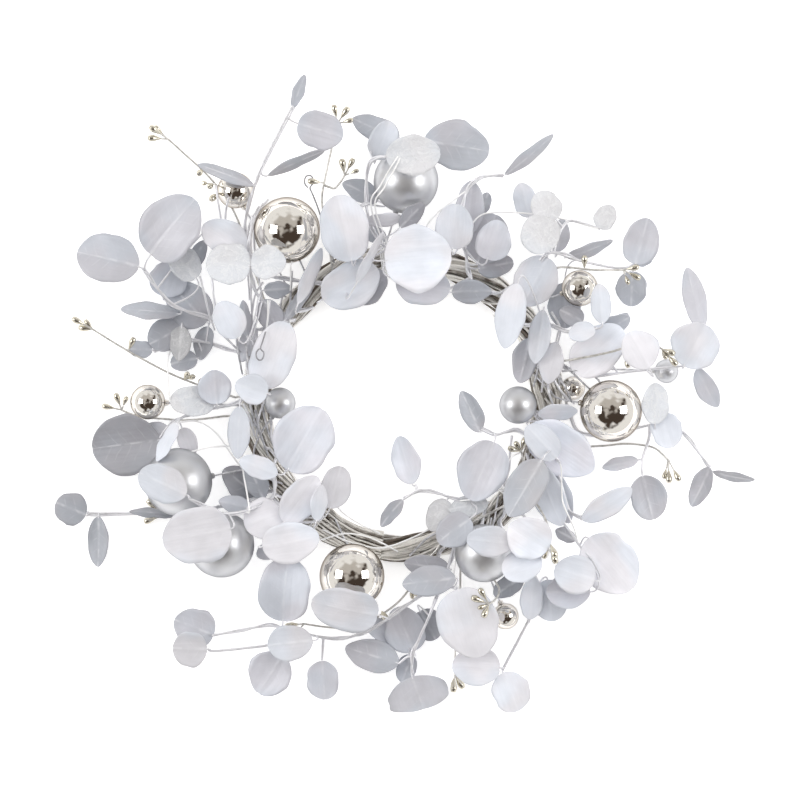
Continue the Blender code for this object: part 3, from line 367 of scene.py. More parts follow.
# Bare twigs that end in pips: each pip is its middle's grid x, grid y and height in mm.
twigs = {
    "pip_twig_northwest": {
        "root": (146, 30),
        "stems": [[(250, 262, 10), (238, 222, 14), (222, 192, 24), (197, 165, 30), (166, 137, 32)]],
        "pips": [(155, 130, 33), (154, 138, 31), (200, 172, 32), (211, 186, 40), (214, 197, 36)],
    },
    "pip_twig_north": {
        "root": (118, 85),
        "stems": [
            [(330, 250, 28), (326, 225, 36), (322, 200, 40), (326, 175, 42), (332, 148, 42),
             (338, 122, 42)],
            [(336, 188, 42), (346, 174, 44)],
        ],
        "pips": [(335, 111, 42), (345, 113, 44), (343, 166, 46), (351, 164, 44), (314, 182, 42)],
    },
    "pip_twig_west": {
        "root": (172, 30),
        "stems": [[(230, 396, 14), (205, 388, 18), (180, 378, 22), (150, 363, 24), (120, 347, 24),
                   (90, 328, 24)]],
        "pips": [(77, 321, 25), (84, 328, 21), (131, 343, 27), (186, 376, 30), (200, 382, 28)],
    },
    "pip_twig_west_low": {
        "root": (184, 10),
        "stems": [[(228, 416, 10), (190, 420, 7), (140, 417, 7), (118, 409, 10)]],
        "pips": [(106, 407, 10), (116, 399, 13)],
    },
    "pip_twig_southwest": {
        "root": (219, 5),
        "stems": [[(266, 524, 6), (240, 523, 6), (200, 524, 5), (160, 516, 5)]],
        "pips": [(150, 505, 6), (148, 521, 6)],
    },
    "pip_twig_south": {
        "root": (279, 40),
        "stems": [[(420, 574, 12), (395, 606, 18), (350, 628, 24), (302, 624, 26)]],
        "pips": [(291, 626, 30), (295, 634, 28), (384, 616, 26), (414, 592, 18)],
    },
    "pip_twig_south_front": {
        "root": (299, 35),
        "stems": [[(489, 572, 20), (499, 588, 38), (495, 598, 58), (487, 603, 64)]],
        "pips": [(477, 598, 65), (485, 610, 66), (482, 592, 66)],
    },
    "pip_twig_south_low": {
        "root": (294, 20),
        "stems": [
            [(462, 556, 6), (460, 600, 10), (456, 640, 16), (455, 678, 18)],
        ],
        "pips": [(454, 687, 19), (460, 684, 16)],
    },
    "pip_twig_southeast": {
        "root": (310, 95),
        "stems": [[(518, 500, 34), (535, 502, 44), (548, 528, 62), (549, 545, 66)]],
        "pips": [(552, 550, 70), (553, 556, 64), (528, 498, 46)],
    },
    "pip_twig_east": {
        "root": (10, 70),
        "stems": [[(570, 360, 42), (610, 352, 48), (645, 342, 48), (662, 350, 46)]],
        "pips": [(672, 361, 46), (668, 352, 48), (626, 362, 54)],
    },
    "pip_twig_east_low": {
        "root": (352, 25),
        "stems": [[(585, 446, 14), (625, 444, 20), (655, 448, 20), (671, 462, 18)]],
        "pips": [(670, 477, 18), (678, 476, 18)],
    },
    "pip_twig_northeast": {
        "root": (42, 85),
        "stems": [[(535, 285, 30), (556, 268, 40), (590, 270, 44), (625, 270, 36)]],
        "pips": [(633, 268, 38), (635, 276, 34), (584, 262, 46)],
    },
    "pip_twig_hole": {
        "root": (336, 120),
        "stems": [[(524, 468, 24), (521, 456, 34), (521, 450, 40)]],
        "pips": [(523, 445, 40), (516, 450, 40)],
    },
}

# A bauble: grid x, grid y, height and radius in mm, finish (m mirror, s satin), and the
# angle and side of the bundle that its wire is wound onto.
baubles = {
    "bauble_north_satin": (406, 181, 34, 23.4, "s", (96, 30)),
    "bauble_northwest_mirror": (287, 230, 35, 23.8, "m", (127, 30)),
    "bauble_northwest_small": (235, 190, 28, 13.0, "m", (133, 5)),
    "bauble_northeast_small": (580, 288, 30, 13.0, "m", (38, 20)),
    "bauble_east_back": (574, 388, 17, 8.5, "m", (6, 40)),
    "bauble_west_small": (147, 402, 24, 12.6, "m", (181, 20)),
    "bauble_inner_west": (280, 403, 32, 11.2, "s", (186, 110)),
    "bauble_west_satin": (178, 482, 30, 24.5, "s", (204, 20)),
    "bauble_inner_east": (518, 405, 34, 13.5, "s", (356, 110)),
    "bauble_east_mirror": (611, 411, 34, 22.3, "m", (4, 55)),
    "bauble_south_mirror": (352, 576, 38, 23.4, "m", (250, 60)),
    "bauble_south_satin": (484, 553, 41, 20.9, "s", (306, 60)),
    "bauble_south_small": (506, 617, 22, 9.4, "m", (300, 15)),
    "bauble_southwest_satin": (221, 545, 26, 23.8, "s", (224, 30)),
    "bauble_east_small": (668, 371, 12, 8.6, "s", (13, 5)),
}


def spot(x, y, high):
    return Vector(((x - ringAt[0]) * gridStep, (ringAt[1] - y) * gridStep, high * mm))


def ringSpot(angle, around, out):
    # angle round the ring, around the bundle from its outer side, out from its middle
    reach = ringRadius + out * math.cos(around)
    return Vector((reach * math.cos(angle), reach * math.sin(angle), ringHeight + out * math.sin(around)))


def smoothRoute(points, parts, before=None):
    # a smooth curve through the points, coming from the point before them
    points = [before or 2 * points[0] - points[1]] + points + [2 * points[-1] - points[-2]]
    route = []
    for a, b, c, d in zip(points, points[1:], points[2:], points[3:]):
        for k in range(parts):
            t = k / parts
            route.append(0.5 * (2 * b + (c - a) * t + (2 * a - 5 * b + 4 * c - d) * t * t
                                + (3 * b - a - 3 * c + d) * t ** 3))
    return route + [points[-2]]


def thinned(route, slack=0.6 * mm):
    # the route without the points that lie almost straight between their neighbours
    kept = [route[0]]
    for point, after in zip(route[1:], route[2:]):
        way = (after - kept[-1]).normalized()
        if (point - kept[-1]).cross(way).length > slack:
            kept.append(point)
    return kept + [route[-1]]


def ringMesh():
    # a torus drawn into five strands that wind round the bundle, pressed flat underneath
    points = []
    for station in range(ringStations):
        angle = math.tau * station / ringStations
        for side in range(2 * strandCount):
            around = math.pi * side / strandCount + strandTurns * angle
            place = ringSpot(angle, around, bundleRadius - (strandDepth if side % 2 else 0))
            points.append((place.x, place.y, max(place.z, 0)))
    faces = []
    for station in range(ringStations):
        here, after = 2 * strandCount * station, 2 * strandCount * ((station + 1) % ringStations)
        for side in range(2 * strandCount):
            a, b = here + side, here + (side + 1) % (2 * strandCount)
            c, d = after + side, after + (side + 1) % (2 * strandCount)
            faces += [(a, c, b), (b, c, d)]
    return points, faces


def seated(route, radius, ring):
    # the wound end laid against the ring's own surface, as far as the stretch stays clear
    near, normal, index, distance = ring.find_nearest(route[0])
    for share in (1, 0.75, 0.5, 0.25):
        end = route[0].lerp(near, share * (distance - radius - endGap) / distance)
        if all(ring.find_nearest(end.lerp(route[1], k / 6))[3] > radius + touchGap for k in range(7)):
            return [end] + route[1:]
    return route


def boundRoute(root, points, radius, slide, lift, twist, ring):
    # wound part of a turn onto the bundle, then away through the points
    angle = math.radians(root[0]) + slide
    around = math.radians(root[1])
    out = bundleRadius + seatGap + radius
    free = [Vector((p.x, p.y, max(p.z + lift, radius + lowestPoint))) for p in points]
    tangent = Vector((-math.sin(angle), math.cos(angle), 0))
    sense = 1 if tangent.dot(free[0] - ringSpot(angle, around, out)) > 0 else -1
    wind = bindTurn * twist * (1 if root[1] < 90 else -1)
    turns = (1, 2 / 3, 1 / 3, 0) if abs(twist) > 0.5 else (1, 0.5, 0)
    wound = [ringSpot(angle - sense * bindArc * abs(twist) * t, around + wind * t, out) for t in turns]
    return seated(wound[:-1] + thinned(smoothRoute([wound[-1]] + free, 2, wound[-2])), radius, ring)


def beadsAlong(route, radius, spacing=1.6 * mm):
    beads = []
    for a, b in zip(route, route[1:]):
        count = max(1, math.ceil((b - a).length / spacing))
        beads += [(a.lerp(b, k / count), radius) for k in range(count)]
    return beads + [(route[-1], radius)]


def readLeaf(row, draw):
    bx, by, tx, ty, wide, high, pitch, roll, finish, tone = row
    base, tip = spot(bx, by, high), spot(tx, ty, high)
    longSide = (tip - base).length > 1.55 * wide * gridStep
    level = math.cos(math.radians(roll)) ** 2
    return {
        "flat": tip - base, "middle": (base + tip) / 2, "wide": wide * gridStep,
        "pitch": math.radians(pitch), "roll": math.radians(roll), "finish": finish,
        "tone": tone,
        "cup": draw.uniform(0.02, 0.26) * level, "arch": draw.uniform(-0.05, 0.09) * level,
        "skew": draw.uniform(0.82, 1.0), "power": 0.66 if longSide else draw.uniform(0.5, 0.56),
    }


def bladeFrame(leaf, lift, lean, turn, size):
    pitch, roll = leaf["pitch"] * lean, leaf["roll"] * turn
    flat = leaf["flat"] * size
    heading = flat.normalized()
    along = heading * math.cos(pitch) + Vector((0, 0, math.sin(pitch)))
    level = Vector((0, 0, 1)).cross(heading)
    side = level * math.cos(roll) + along.cross(level) * math.sin(roll)
    length = flat.length / math.cos(pitch)
    middle = leaf["middle"] - leaf["flat"] * (1 - size) / 2 + Vector((0, 0, lift))
    return {
        "base": middle - along * length / 2, "along": along, "side": side,
        "normal": along.cross(side), "length": length, "width": leaf["wide"] * size / math.cos(roll),
    }


def bladeSpot(leaf, frame, u, v):
    t = u ** leaf["skew"]
    half = frame["width"] / 2 * (4 * t * (1 - t)) ** leaf["power"]
    rise = leaf["cup"] * half * v * v + leaf["arch"] * frame["length"] * 4 * u * (1 - u)
    along = frame["along"] * frame["length"] * u
    return frame["base"] + along + frame["side"] * half * v + frame["normal"] * rise


def stalkRoute(root, frame, parts):
    # from the stem's middle to the blade, arriving along the blade
    base, reach = frame["base"], (frame["base"] - root).length
    bend = base - frame["along"] * reach * 0.5
    return [root.lerp(bend, k / parts).lerp(bend.lerp(base, k / parts), k / parts) for k in range(parts + 1)]


def loftFaces(count):
    # four-point sections joined so that the blade's two faces are split alike, then a tip
    faces = [(0, 2, 1), (0, 3, 2)]
    for s in range(count - 1):
        for k in range(4):
            a, b = 4 * s + k, 4 * s + (k + 1) % 4
            c, d = a + 4, b + 4
            faces += [(a, b, d), (a, d, c)] if k % 2 == 0 else [(a, b, c), (b, d, c)]
    last, tip = 4 * (count - 1), 4 * count
    return faces + [(last + k, last + (k + 1) % 4, tip) for k in range(4)]


def leafLoft(leaf, frame, root, extra=0.0):
    if frame["length"] > 43 * mm:
        stations = (0.05, 0.2, 0.45, 0.7, 0.9)
    elif frame["length"] > 26 * mm:
        stations = (0.07, 0.3, 0.62, 0.88)
    else:
        stations = (0.1, 0.46, 0.86)
    parts = 2 if (frame["base"] - root).length > 14 * mm else 1
    route = stalkRoute(root, frame, parts)
    points, side, ahead = [], frame["side"], frame["along"]
    r = stalkRadius + extra
    sections = []
    for k in range(parts, -1, -1):
        a, b = route[max(k - 1, 0)], route[min(k + 1, parts)]
        if k < parts and (b - a).length > 0.1 * mm:
            way = (b - a).normalized()
            side = ahead.rotation_difference(way) @ side
            ahead = way
        up = ahead.cross(side)
        sections.insert(0, [route[k] + side * r, route[k] + up * r, route[k] - side * r, route[k] - up * r])
    half = frame["normal"] * (leafThickness / 2 + extra)
    wide = 1 + extra / max(frame["width"] / 2, mm)
    for u in stations:
        middle = bladeSpot(leaf, frame, u, 0)
        sections.append([bladeSpot(leaf, frame, u, wide), middle + half, bladeSpot(leaf, frame, u, -wide),
                         middle - half])
    for section in sections:
        points += section
    points.append(bladeSpot(leaf, frame, 1, 0) + frame["along"] * extra)
    return points, loftFaces(len(sections)), 4 * (parts + 1)


def nearestOn(routes, base):
    # the place on the stems, short of their ends, nearest the blade's base, height counting half
    free = [routes[0][1:]] + routes[1:]
    spots = [point for route in free for point, radius in beadsAlong(route, 0)[:-1]]
    return min(spots, key=lambda p: (p.xy - base.xy).length + 0.5 * abs(p.z - base.z))


def ringBeads():
    return [(ringSpot(math.radians(a), 0, 0), bundleRadius + 0.1 * mm) for a in range(0, 360, 2)]


def touches(own, beads, placed, ring):
    if any(ring.find_nearest(point, radius + touchGap)[0] for point, radius in beads):
        return True
    return any((point - other).length_squared < (radius + wide + touchGap) ** 2
               for owner, others in placed.items() if owner not in (own, "vine_ring")
               for point, radius in beads for other, wide in others)


def bindings():
    # ways to wind onto the ring, plainest first: slide, side of the bundle, twist and lift
    ways = [(abs(slide) * 0.5 + abs(turn) * 0.15 + abs(1 - twist) * 4 + abs(lift), slide, turn, twist, lift)
            for slide in range(-10, 11, 2) for turn in (0, 15, -15, 30, -30)
            for twist in (1, 0.5, 0.25, -0.5) for lift in range(-9, 10, 3)]
    return sorted(ways)


def placeStems(name, plan, radius, placed, ways, ring):
    # the first stem starts on the ring; moved until it clears what is there
    for cost, slide, turn, twist, lift in ways:
        root = (plan["root"][0], plan["root"][1] + turn)
        first = boundRoute(root, [spot(*p) for p in plan["stems"][0]], radius, math.radians(slide),
                           lift * mm, twist, ring)
        beads = beadsAlong(first, radius)
        if touches(name, beads[::2], placed, ring):
            continue
        routes = [first]
        for stem in plan["stems"][1:]:
            points = [spot(*p) + Vector((0, 0, lift * mm)) for p in stem]
            side = thinned(smoothRoute([nearestOn([first], points[0])] + points, 2))
            routes.append(side)
            beads += beadsAlong(side, radius * 0.85)
        if not touches(name, beads[::2], placed, ring):
            placed[name] = beads
            return routes


def placeWire(name, placed, ways, ring):
    x, y, high, radius, finish, root = baubles[name]
    centre = spot(x, y, high)
    for cost, slide, turn, twist, lift in ways:
        if lift == 0:
            angle, around = math.radians(root[0] + slide), math.radians(root[1] + turn)
            away = ringSpot(angle, around, bundleRadius + 5 * mm)
            edge = centre + (away - centre).normalized() * (radius - 2.5) * mm
            points = [away.lerp(edge, 0.5), edge] if (edge - away).length > 12 * mm else [edge]
            route = boundRoute((root[0], root[1] + turn), points, wireRadius, math.radians(slide), 0,
                               twist, ring)
            beads = beadsAlong(route, wireRadius)
            if not touches(name, beads[::2], placed, ring):
                placed[name] = placed[name] + beads
                return route


def shell(points, faces, start):
    # a blade's lowest and highest corner, its surface with the stalk, and without it
    low, high = ([pick(p[k] for p in points) for k in range(3)] for pick in (min, max))
    bare = [[i - start for i in f] for f in faces if min(f) >= start]
    return low, high, BVHTree.FromPolygons(points, faces), BVHTree.FromPolygons(points[start:], bare)


def blocked(name, points, faces, start, placed, blades):
    # whether this blade or its stalk meets a stem, a ball, the ring or another blade
    if min(p.z for p in points) < lowestPoint:
        return True
    low, high, whole, bare = shell(points, faces, start)
    for owner, beads in placed.items():
        if owner != name:
            for point, radius in beads:
                near = radius + 0.2 * mm
                if all(low[k] - near < point[k] < high[k] + near for k in range(3)):
                    if whole.find_nearest(point, near)[0] is not None:
                        return True
    for owner, otherLow, otherHigh, otherWhole, otherBare in blades:
        if all(low[k] < otherHigh[k] and otherLow[k] < high[k] for k in range(3)):
            if owner == name and bare.overlap(otherBare):
                return True
            if owner != name and whole.overlap(otherWhole):
                return True
    return False


def leafTries():
    tilts = ((1, 1), (0.5, 1), (1, 0.5), (0.4, 0.4), (-0.6, 0.6), (0.6, -0.6), (0, 0), (-1, -1))
    lifts = (0, 3, -3, 6, -6, 9, -9, 12, -12, 16, -16, 20, -20)
    tries = [(abs(z) / 3 + 0.8 * k + (1 - size) * 60, z * mm, lean, turn, size)
             for size in (1, 0.92, 0.8) for z in lifts for k, (lean, turn) in enumerate(tilts)]
    return sorted(tries)


def placeLeaf(name, leaf, stems, placed, blades, tries):
    for cost, lift, lean, turn, size in tries:
        frame = bladeFrame(leaf, lift, lean, turn, size)
        root = nearestOn(stems, frame["base"])
        points, faces, start = leafLoft(leaf, frame, root, clearGap)
        if not blocked(name, points, faces, start, placed, blades):
            blades.append((name, *shell(*leafLoft(leaf, frame, root))))
            return leaf, frame, root


def layOut():
    # the whole wreath's layout: ring, baubles, stems, pips, then leaves from the front back
    placed = {"vine_ring": ringBeads()}
    for name, (x, y, high, radius, finish, root) in baubles.items():
        placed[name] = [(spot(x, y, high), radius * mm)]
    ways, ring = bindings(), BVHTree.FromPolygons(*ringMesh())
    layout = {"wires": {name: placeWire(name, placed, ways, ring) for name in baubles}, "stems": {},
              "pips": {name: [] for name in twigs}, "leaves": {name: [] for name in sprays}}
    for group, radius in ((sprays, stemRadius), (twigs, twigRadius)):
        for name, plan in group.items():
            layout["stems"][name] = placeStems(name, plan, radius, placed, ways, ring)
    for name, plan in twigs.items():
        for pip in plan["pips"]:
            middle = spot(*pip)
            root = nearestOn(layout["stems"][name], middle)
            middle = root + (middle - root).normalized() * max((middle - root).length, pipLength * 0.7)
            middle.z = max(middle.z, pipRadius + lowestPoint)
            tip = middle + (middle - root).normalized() * pipLength / 2
            beads = [(middle.lerp(tip, k / 3), pipRadius) for k in range(3)]
            if not touches(name, beads, placed, ring):
                placed[name] = placed[name] + beads
                layout["pips"][name].append((root, middle))
    draw = random.Random(5)
    rows = [(-row[5], name, index, readLeaf(row, draw)) for name, plan in sprays.items()
            for index, row in enumerate(plan["leaves"])]
    blades, tries = [], leafTries()
    for rank, name, index, leaf in sorted(rows, key=lambda r: r[:3]):
        found = placeLeaf(name, leaf, layout["stems"][name], placed, blades, tries)
        if found:
            layout["leaves"][name].append(found)
    return layout


def paint(code):
    # an sRGB hex colour as the linear one that a shader takes
    values = [int(code[k:k + 2], 16) / 255 for k in (0, 2, 4)]
    return (*[v / 12.92 if v <= 0.04045 else ((v + 0.055) / 1.055) ** 2.4 for v in values], 1)


# Short names for the nodes that come up often, with the settings that go with them
nodeKinds = {operation: ("ShaderNodeMath", {"operation": operation}) for operation in (
    "ADD", "SUBTRACT", "MULTIPLY", "DIVIDE", "MULTIPLY_ADD", "POWER", "ABSOLUTE", "SIGN", "SINE", "COSINE",
    "MAXIMUM", "PINGPONG")}
nodeKinds.update({
    "scaled": ("ShaderNodeVectorMath", {"operation": "SCALE"}),
    "moved": ("ShaderNodeVectorMath", {"operation": "ADD"}),
    "range": ("ShaderNodeMapRange", {}),
    "ramp": ("ShaderNodeMapRange", {"interpolation_type": "SMOOTHSTEP"}),
    "mix": ("ShaderNodeMix", {"data_type": "RGBA"}),
    "noise": ("ShaderNodeTexNoise", {}),
    "split": ("ShaderNodeSeparateXYZ", {}),
    "vector": ("ShaderNodeCombineXYZ", {}),
    "attribute": ("ShaderNodeAttribute", {}),
    "named": ("GeometryNodeInputNamedAttribute", {"data_type": "FLOAT"}),
    "store": ("GeometryNodeStoreNamedAttribute", {"domain": "POINT"}),
    "place": ("GeometryNodeSetPosition", {}),
})


def addNode(tree, kind, *values, out=0, **named):
    # one node: the values go to its open inputs in order, names in small letters are settings
    # and the others inputs, each a value or the socket that feeds it; out is what it returns
    identifier, settings = nodeKinds.get(kind, (kind, {}))
    node = tree.nodes.new(identifier)
    for name, value in (settings | named).items():
        if name[0].islower():
            setattr(node, name, value)
    given = list(zip([socket for socket in node.inputs if socket.enabled], values))
    given += [(node.inputs[name.replace("_", " ")], value) for name, value in named.items()
              if name[0].isupper()]
    for socket, value in given:
        if isinstance(value, bpy.types.NodeSocket):
            tree.links.new(value, socket)
        else:
            socket.default_value = value
    if isinstance(out, str):
        return node.outputs[out]
    return [socket for socket in node.outputs if socket.enabled][out]


def newMaterial(name, sockets):
    material = bpy.data.materials.new(name)
    material.use_nodes = True
    shader = material.node_tree.nodes["Principled BSDF"]
    for socket, value in sockets.items():
        shader.inputs[socket].default_value = value
    return material, material.node_tree, shader


# Leaves are stamped polyester cloth with a pearly coat: a satin sheen, a pale raised
# midrib with faint side veins, and a shade from the tone attribute: their own grey and painted shade.
leafFinishes = {
    "silverSatinLeaf": {"cool": "EBF0FB", "rosy": "F0F0F9", "veinShare": 0.3, "roughness": 0.42,
                        "metallic": 0.08, "sheen": 0.15, "frost": False},
    "whiteSatinLeaf": {"cool": "F0F5FF", "rosy": "F6F5FB", "veinShare": 0.3, "roughness": 0.5,
                       "metallic": 0.0, "sheen": 0.2, "frost": False},
    "frostedLeaf": {"cool": "F4F8FF", "rosy": "F8F8FC", "veinShare": 0.25, "roughness": 0.6,
                    "metallic": 0.0, "sheen": 0.3, "frost": True},
}
# The blade's pattern in mm, and how much each part of it stands out in the bump
bladeLook = {"ribAtStalk": 1.2, "ribAtTip": 0.45, "ribLength": 45.0, "veinSpacing": 7.6, "veinSlant": -0.8,
             "veinStagger": 1.6, "veinWander": 3.0, "grainRise": 0.1, "foldRise": 4.5, "ribRise": 0.5,
             "crumbRise": 0.3, "creaseDrop": -9.0, "bump": 0.45, "bumpDepth": 0.4 * mm}


def leafMaterial(name, look):
    material, tree, shader = newMaterial(name, {
        "Roughness": look["roughness"], "Metallic": look["metallic"], "Sheen Weight": look["sheen"],
        "Sheen Roughness": 0.4, "Coat Weight": 0.1, "Coat Roughness": 0.35,
    })
    add = partial(addNode, tree)
    tone = add("attribute", attribute_name="tone", out="Fac")
    seed = add("attribute", attribute_name="seed", out="Fac")
    blade = add("attribute", attribute_name="blade", out="Vector")
    along, across, rim = add("split", blade, out=slice(3))
    spot = add("ShaderNodeTexCoord", out="Object")
    # side veins leave the midrib on both sides in turn, slanting and wandering outwards
    away = add("ABSOLUTE", across)
    halfRib = add("range", along, 0.0, bladeLook["ribLength"], bladeLook["ribAtStalk"], bladeLook["ribAtTip"])
    ridge = add("ramp", add("DIVIDE", away, halfRib), 0.1, 1.7, 1.0, 0.0)
    slant = add("MULTIPLY_ADD", add("POWER", away, 0.92), bladeLook["veinSlant"], along)
    sided = add("MULTIPLY_ADD", add("SIGN", across), bladeLook["veinStagger"], slant)
    drift = add("noise", Vector=spot, Scale=110.0, Detail=1.0)
    wandering = add("MULTIPLY_ADD", drift, bladeLook["veinWander"], sided)
    wave = add("PINGPONG", add("DIVIDE", wandering, bladeLook["veinSpacing"]), 0.5)
    sideVein = add("MULTIPLY", add("ramp", wave, 0.0, 0.11, 0.4, 0.0), add("ramp", rim, 0.3, 0.85, 1.0, 0.0))
    # they are worn in places, and fade on pale blades
    worn = add("ramp", add("noise", Vector=spot, Scale=140.0, Detail=2.0), 0.35, 0.62, 0.15, 1.0)
    vein = add("MULTIPLY", add("MAXIMUM", ridge, sideVein), worn)
    vein = add("MULTIPLY", vein, add("ramp", tone, 0.45, 0.78, 1.0, 0.3))
    # streaks run along the blade like the cloth's ribs, over slow clouds of 15 mm
    streakPlace = add("vector", add("MULTIPLY", along, 0.06), add("MULTIPLY", across, 0.5), seed)
    ribs = add("noise", Vector=streakPlace, Scale=1.6, Detail=3.0)
    folds = add("noise", Vector=streakPlace, Scale=0.35, Detail=1.0)
    grain = add("noise", Vector=spot, Scale=1500.0, Detail=2.0)
    streaks = add("range", ribs, 0.3, 0.7, 0.98, 1.02)
    clouds = add("range", add("noise", Vector=spot, Scale=65.0, Detail=2.0), 0.3, 0.7, 0.94, 1.05)
    # painted shade: one side of the midrib a little darker than the other, and the blade darker near its
    # stalk
    lean = add("SINE", add("MULTIPLY", seed, 7.3))
    paintedHalfShade = add("MULTIPLY", add("ramp", across, -1.2, 1.2, -0.035, 0.035), lean)
    paintedBladeShade = add("MULTIPLY", add("ADD", paintedHalfShade, 1.0), add("ramp", along, 5.0, 40.0, 0.985, 1.03))
    shade = add("MULTIPLY", add("MULTIPLY", streaks, clouds), add("MULTIPLY", tone, paintedBladeShade))
    # the pearl coat turns from a cool to a faintly rosy white over 30 mm or so
    turned = add("ramp", add("noise", Vector=spot, Scale=30.0, Detail=1.0), 0.38, 0.62, 0.0, 1.0)
    body = add("scaled", add("mix", turned, paint(look["cool"]), paint(look["rosy"])), shade)
    colour = add("mix", add("MULTIPLY", vein, look["veinShare"]), body, paint("F2F2F5"))
    height = add("MULTIPLY_ADD", grain, bladeLook["grainRise"], vein)
    height = add("MULTIPLY_ADD", folds, bladeLook["foldRise"], height)
    height = add("MULTIPLY_ADD", ribs, bladeLook["ribRise"], height)
    if look["frost"]:
        # frost is glued crumbs under 1 mm: most are white, some glitter, a few are grey,
        # and creases 10 mm apart catch more of them
        cells = add("ShaderNodeTexVoronoi", Vector=spot, Scale=1300.0, out="Color")
        white, grey, glitter = add("ShaderNodeSeparateColor", cells, out=slice(3))
        crinkle = add("noise", Vector=spot, Scale=100.0, Detail=3.0, Distortion=0.9)
        crease = add("ABSOLUTE", add("SUBTRACT", crinkle, 0.5))
        caught = add("ramp", crease, 0.0, 0.05, 0.65, 0.18)
        crusted = add("MULTIPLY", caught, add("ramp", white, 0.1, 0.9, 0.55, 1.0))
        # the frost's white dims with the tone, and so with its painted shade
        crust = add("scaled", paint("FCFDFF")[:3], add("ramp", tone, 0.2, 0.8, 0.5, 0.82))
        colour = add("mix", crusted, colour, crust)
        colour = add("mix", add("ramp", grey, 0.0, 0.1, 0.12, 0.0), colour, paint("A9ABB2"))
        tree.links.new(add("ramp", glitter, 0.9, 0.93, look["roughness"], 0.15), shader.inputs["Roughness"])
        height = add("MULTIPLY_ADD", crease, bladeLook["creaseDrop"], height)
        height = add("MULTIPLY_ADD", white, bladeLook["crumbRise"], height)
    bump = add("ShaderNodeBump", Height=height, Strength=bladeLook["bump"], Distance=bladeLook["bumpDepth"])
    tree.links.new(colour, shader.inputs["Base Color"])
    tree.links.new(bump, shader.inputs["Normal"])
    return material


# Stems are steel wire in silvered paper tape, vine twigs are dried bark with a silver and
# champagne wash, pip twigs have champagne tape, and binding wire is bright aluminium.
woodFinishes = {
    "silveredTape": {"dark": "949498", "light": "E4E4E8", "scale": 260.0, "roughness": 0.33, "metallic": 0.5,
                     "bump": 0.3},
    "washedVine": {"dark": "645A50", "light": "F0EDE7", "scale": 150.0, "roughness": 0.34, "metallic": 0.5,
                   "bump": 0.6},
    "champagneTape": {"dark": "9C9994", "light": "DEDCD8", "scale": 300.0, "roughness": 0.32, "metallic": 0.6,
                      "bump": 0.3},
    "whiteWire": {"dark": "BDBDBF", "light": "F6F6F6", "scale": 300.0, "roughness": 0.3, "metallic": 0.3,
                  "bump": 0.15},
}


def barkMaterial(name, look):
    # stretched along the twig by its own length and turn, so that the bark's fibres follow it
    material, tree, shader = newMaterial(name, {"Roughness": look["roughness"], "Metallic": look["metallic"]})
    add = partial(addNode, tree)
    tone = add("attribute", attribute_name="tone", out="Fac")
    path = add("attribute", attribute_name="path", out="Vector")
    fibre = add("noise", Vector=path, Scale=6.0, Detail=5.0)
    wash = add("noise", Vector=add("ShaderNodeTexCoord", out="Object"), Scale=look["scale"], Detail=3.0)
    mixed = add("ADD", fibre, wash)
    share = add("MULTIPLY_ADD", add("ADD", tone, -0.5), 0.9, mixed)
    colour = add("mix", add("range", share, 0.65, 1.15, 0.0, 1.0), paint(look["dark"]), paint(look["light"]))
    bump = add("ShaderNodeBump", Height=mixed, Strength=look["bump"], Distance=0.5 * mm)
    tree.links.new(colour, shader.inputs["Base Color"])
    tree.links.new(bump, shader.inputs["Normal"])
    return material


# Baubles are blown polystyrene with a vacuum-plated coat: a mirror with a warm cast, and a
# satin lacquer over the same coat. Pips are the same plating in champagne on moulded buds.
platings = {
    "mirrorPlating": {"colour": "F0ECE6", "edge": "8E867E", "roughness": 0.07, "waviness": 0.05,
                      "scale": 26.0, "metallic": 1.0},
    "satinPlating": {"colour": "D8D9DC", "edge": "66676B", "roughness": 0.4, "waviness": 0.02,
                     "scale": 400.0, "metallic": 0.85},
    "champagnePlating": {"colour": "DBD6C8", "edge": "8A8474", "roughness": 0.2, "waviness": 0.04,
                         "scale": 600.0, "metallic": 0.95},
}


def platedMaterial(name, look):
    # the edge tint is what the thin coat sends back at a grazing angle, where it greys
    material, tree, shader = newMaterial(name, {
        "Base Color": paint(look["colour"]), "Specular Tint": paint(look["edge"]),
        "Roughness": look["roughness"], "Metallic": look["metallic"],
    })
    spot = addNode(tree, "ShaderNodeTexCoord", out="Object")
    waves = addNode(tree, "noise", Vector=spot, Scale=look["scale"], Detail=1.0)
    bump = addNode(tree, "ShaderNodeBump", Height=waves, Strength=look["waviness"], Distance=2 * mm)
    tree.links.new(bump, shader.inputs["Normal"])
    return material


materials = {name: leafMaterial(name, look) for name, look in leafFinishes.items()}
materials.update({name: barkMaterial(name, look) for name, look in woodFinishes.items()})
materials.update({name: platedMaterial(name, look) for name, look in platings.items()})
print("materials made")


def newTree(name, inputs):
    # a Geometry Nodes tree with named inputs: returns the tree, its inputs and its output node
    tree = bpy.data.node_groups.new(name, "GeometryNodeTree")
    for kind, sockets in inputs.items():
        for socket in sockets:
            tree.interface.new_socket(socket, in_out="INPUT", socket_type="NodeSocket" + kind)
    tree.interface.new_socket("Shape", in_out="OUTPUT", socket_type="NodeSocketGeometry")
    given = tree.nodes.new("NodeGroupInput").outputs
    return tree, given, tree.nodes.new("NodeGroupOutput")


def endTree(tree, shape, given, result):
    # every tree ends in real, smooth mesh of one finish
    shape = addNode(tree, "GeometryNodeRealizeInstances", shape)
    shape = addNode(tree, "GeometryNodeSetShadeSmooth", Geometry=shape, Shade_Smooth=True)
    shape = addNode(tree, "GeometryNodeSetMaterial", Geometry=shape, Material=given["Finish"])
    tree.links.new(shape, result.inputs[0])
    return tree


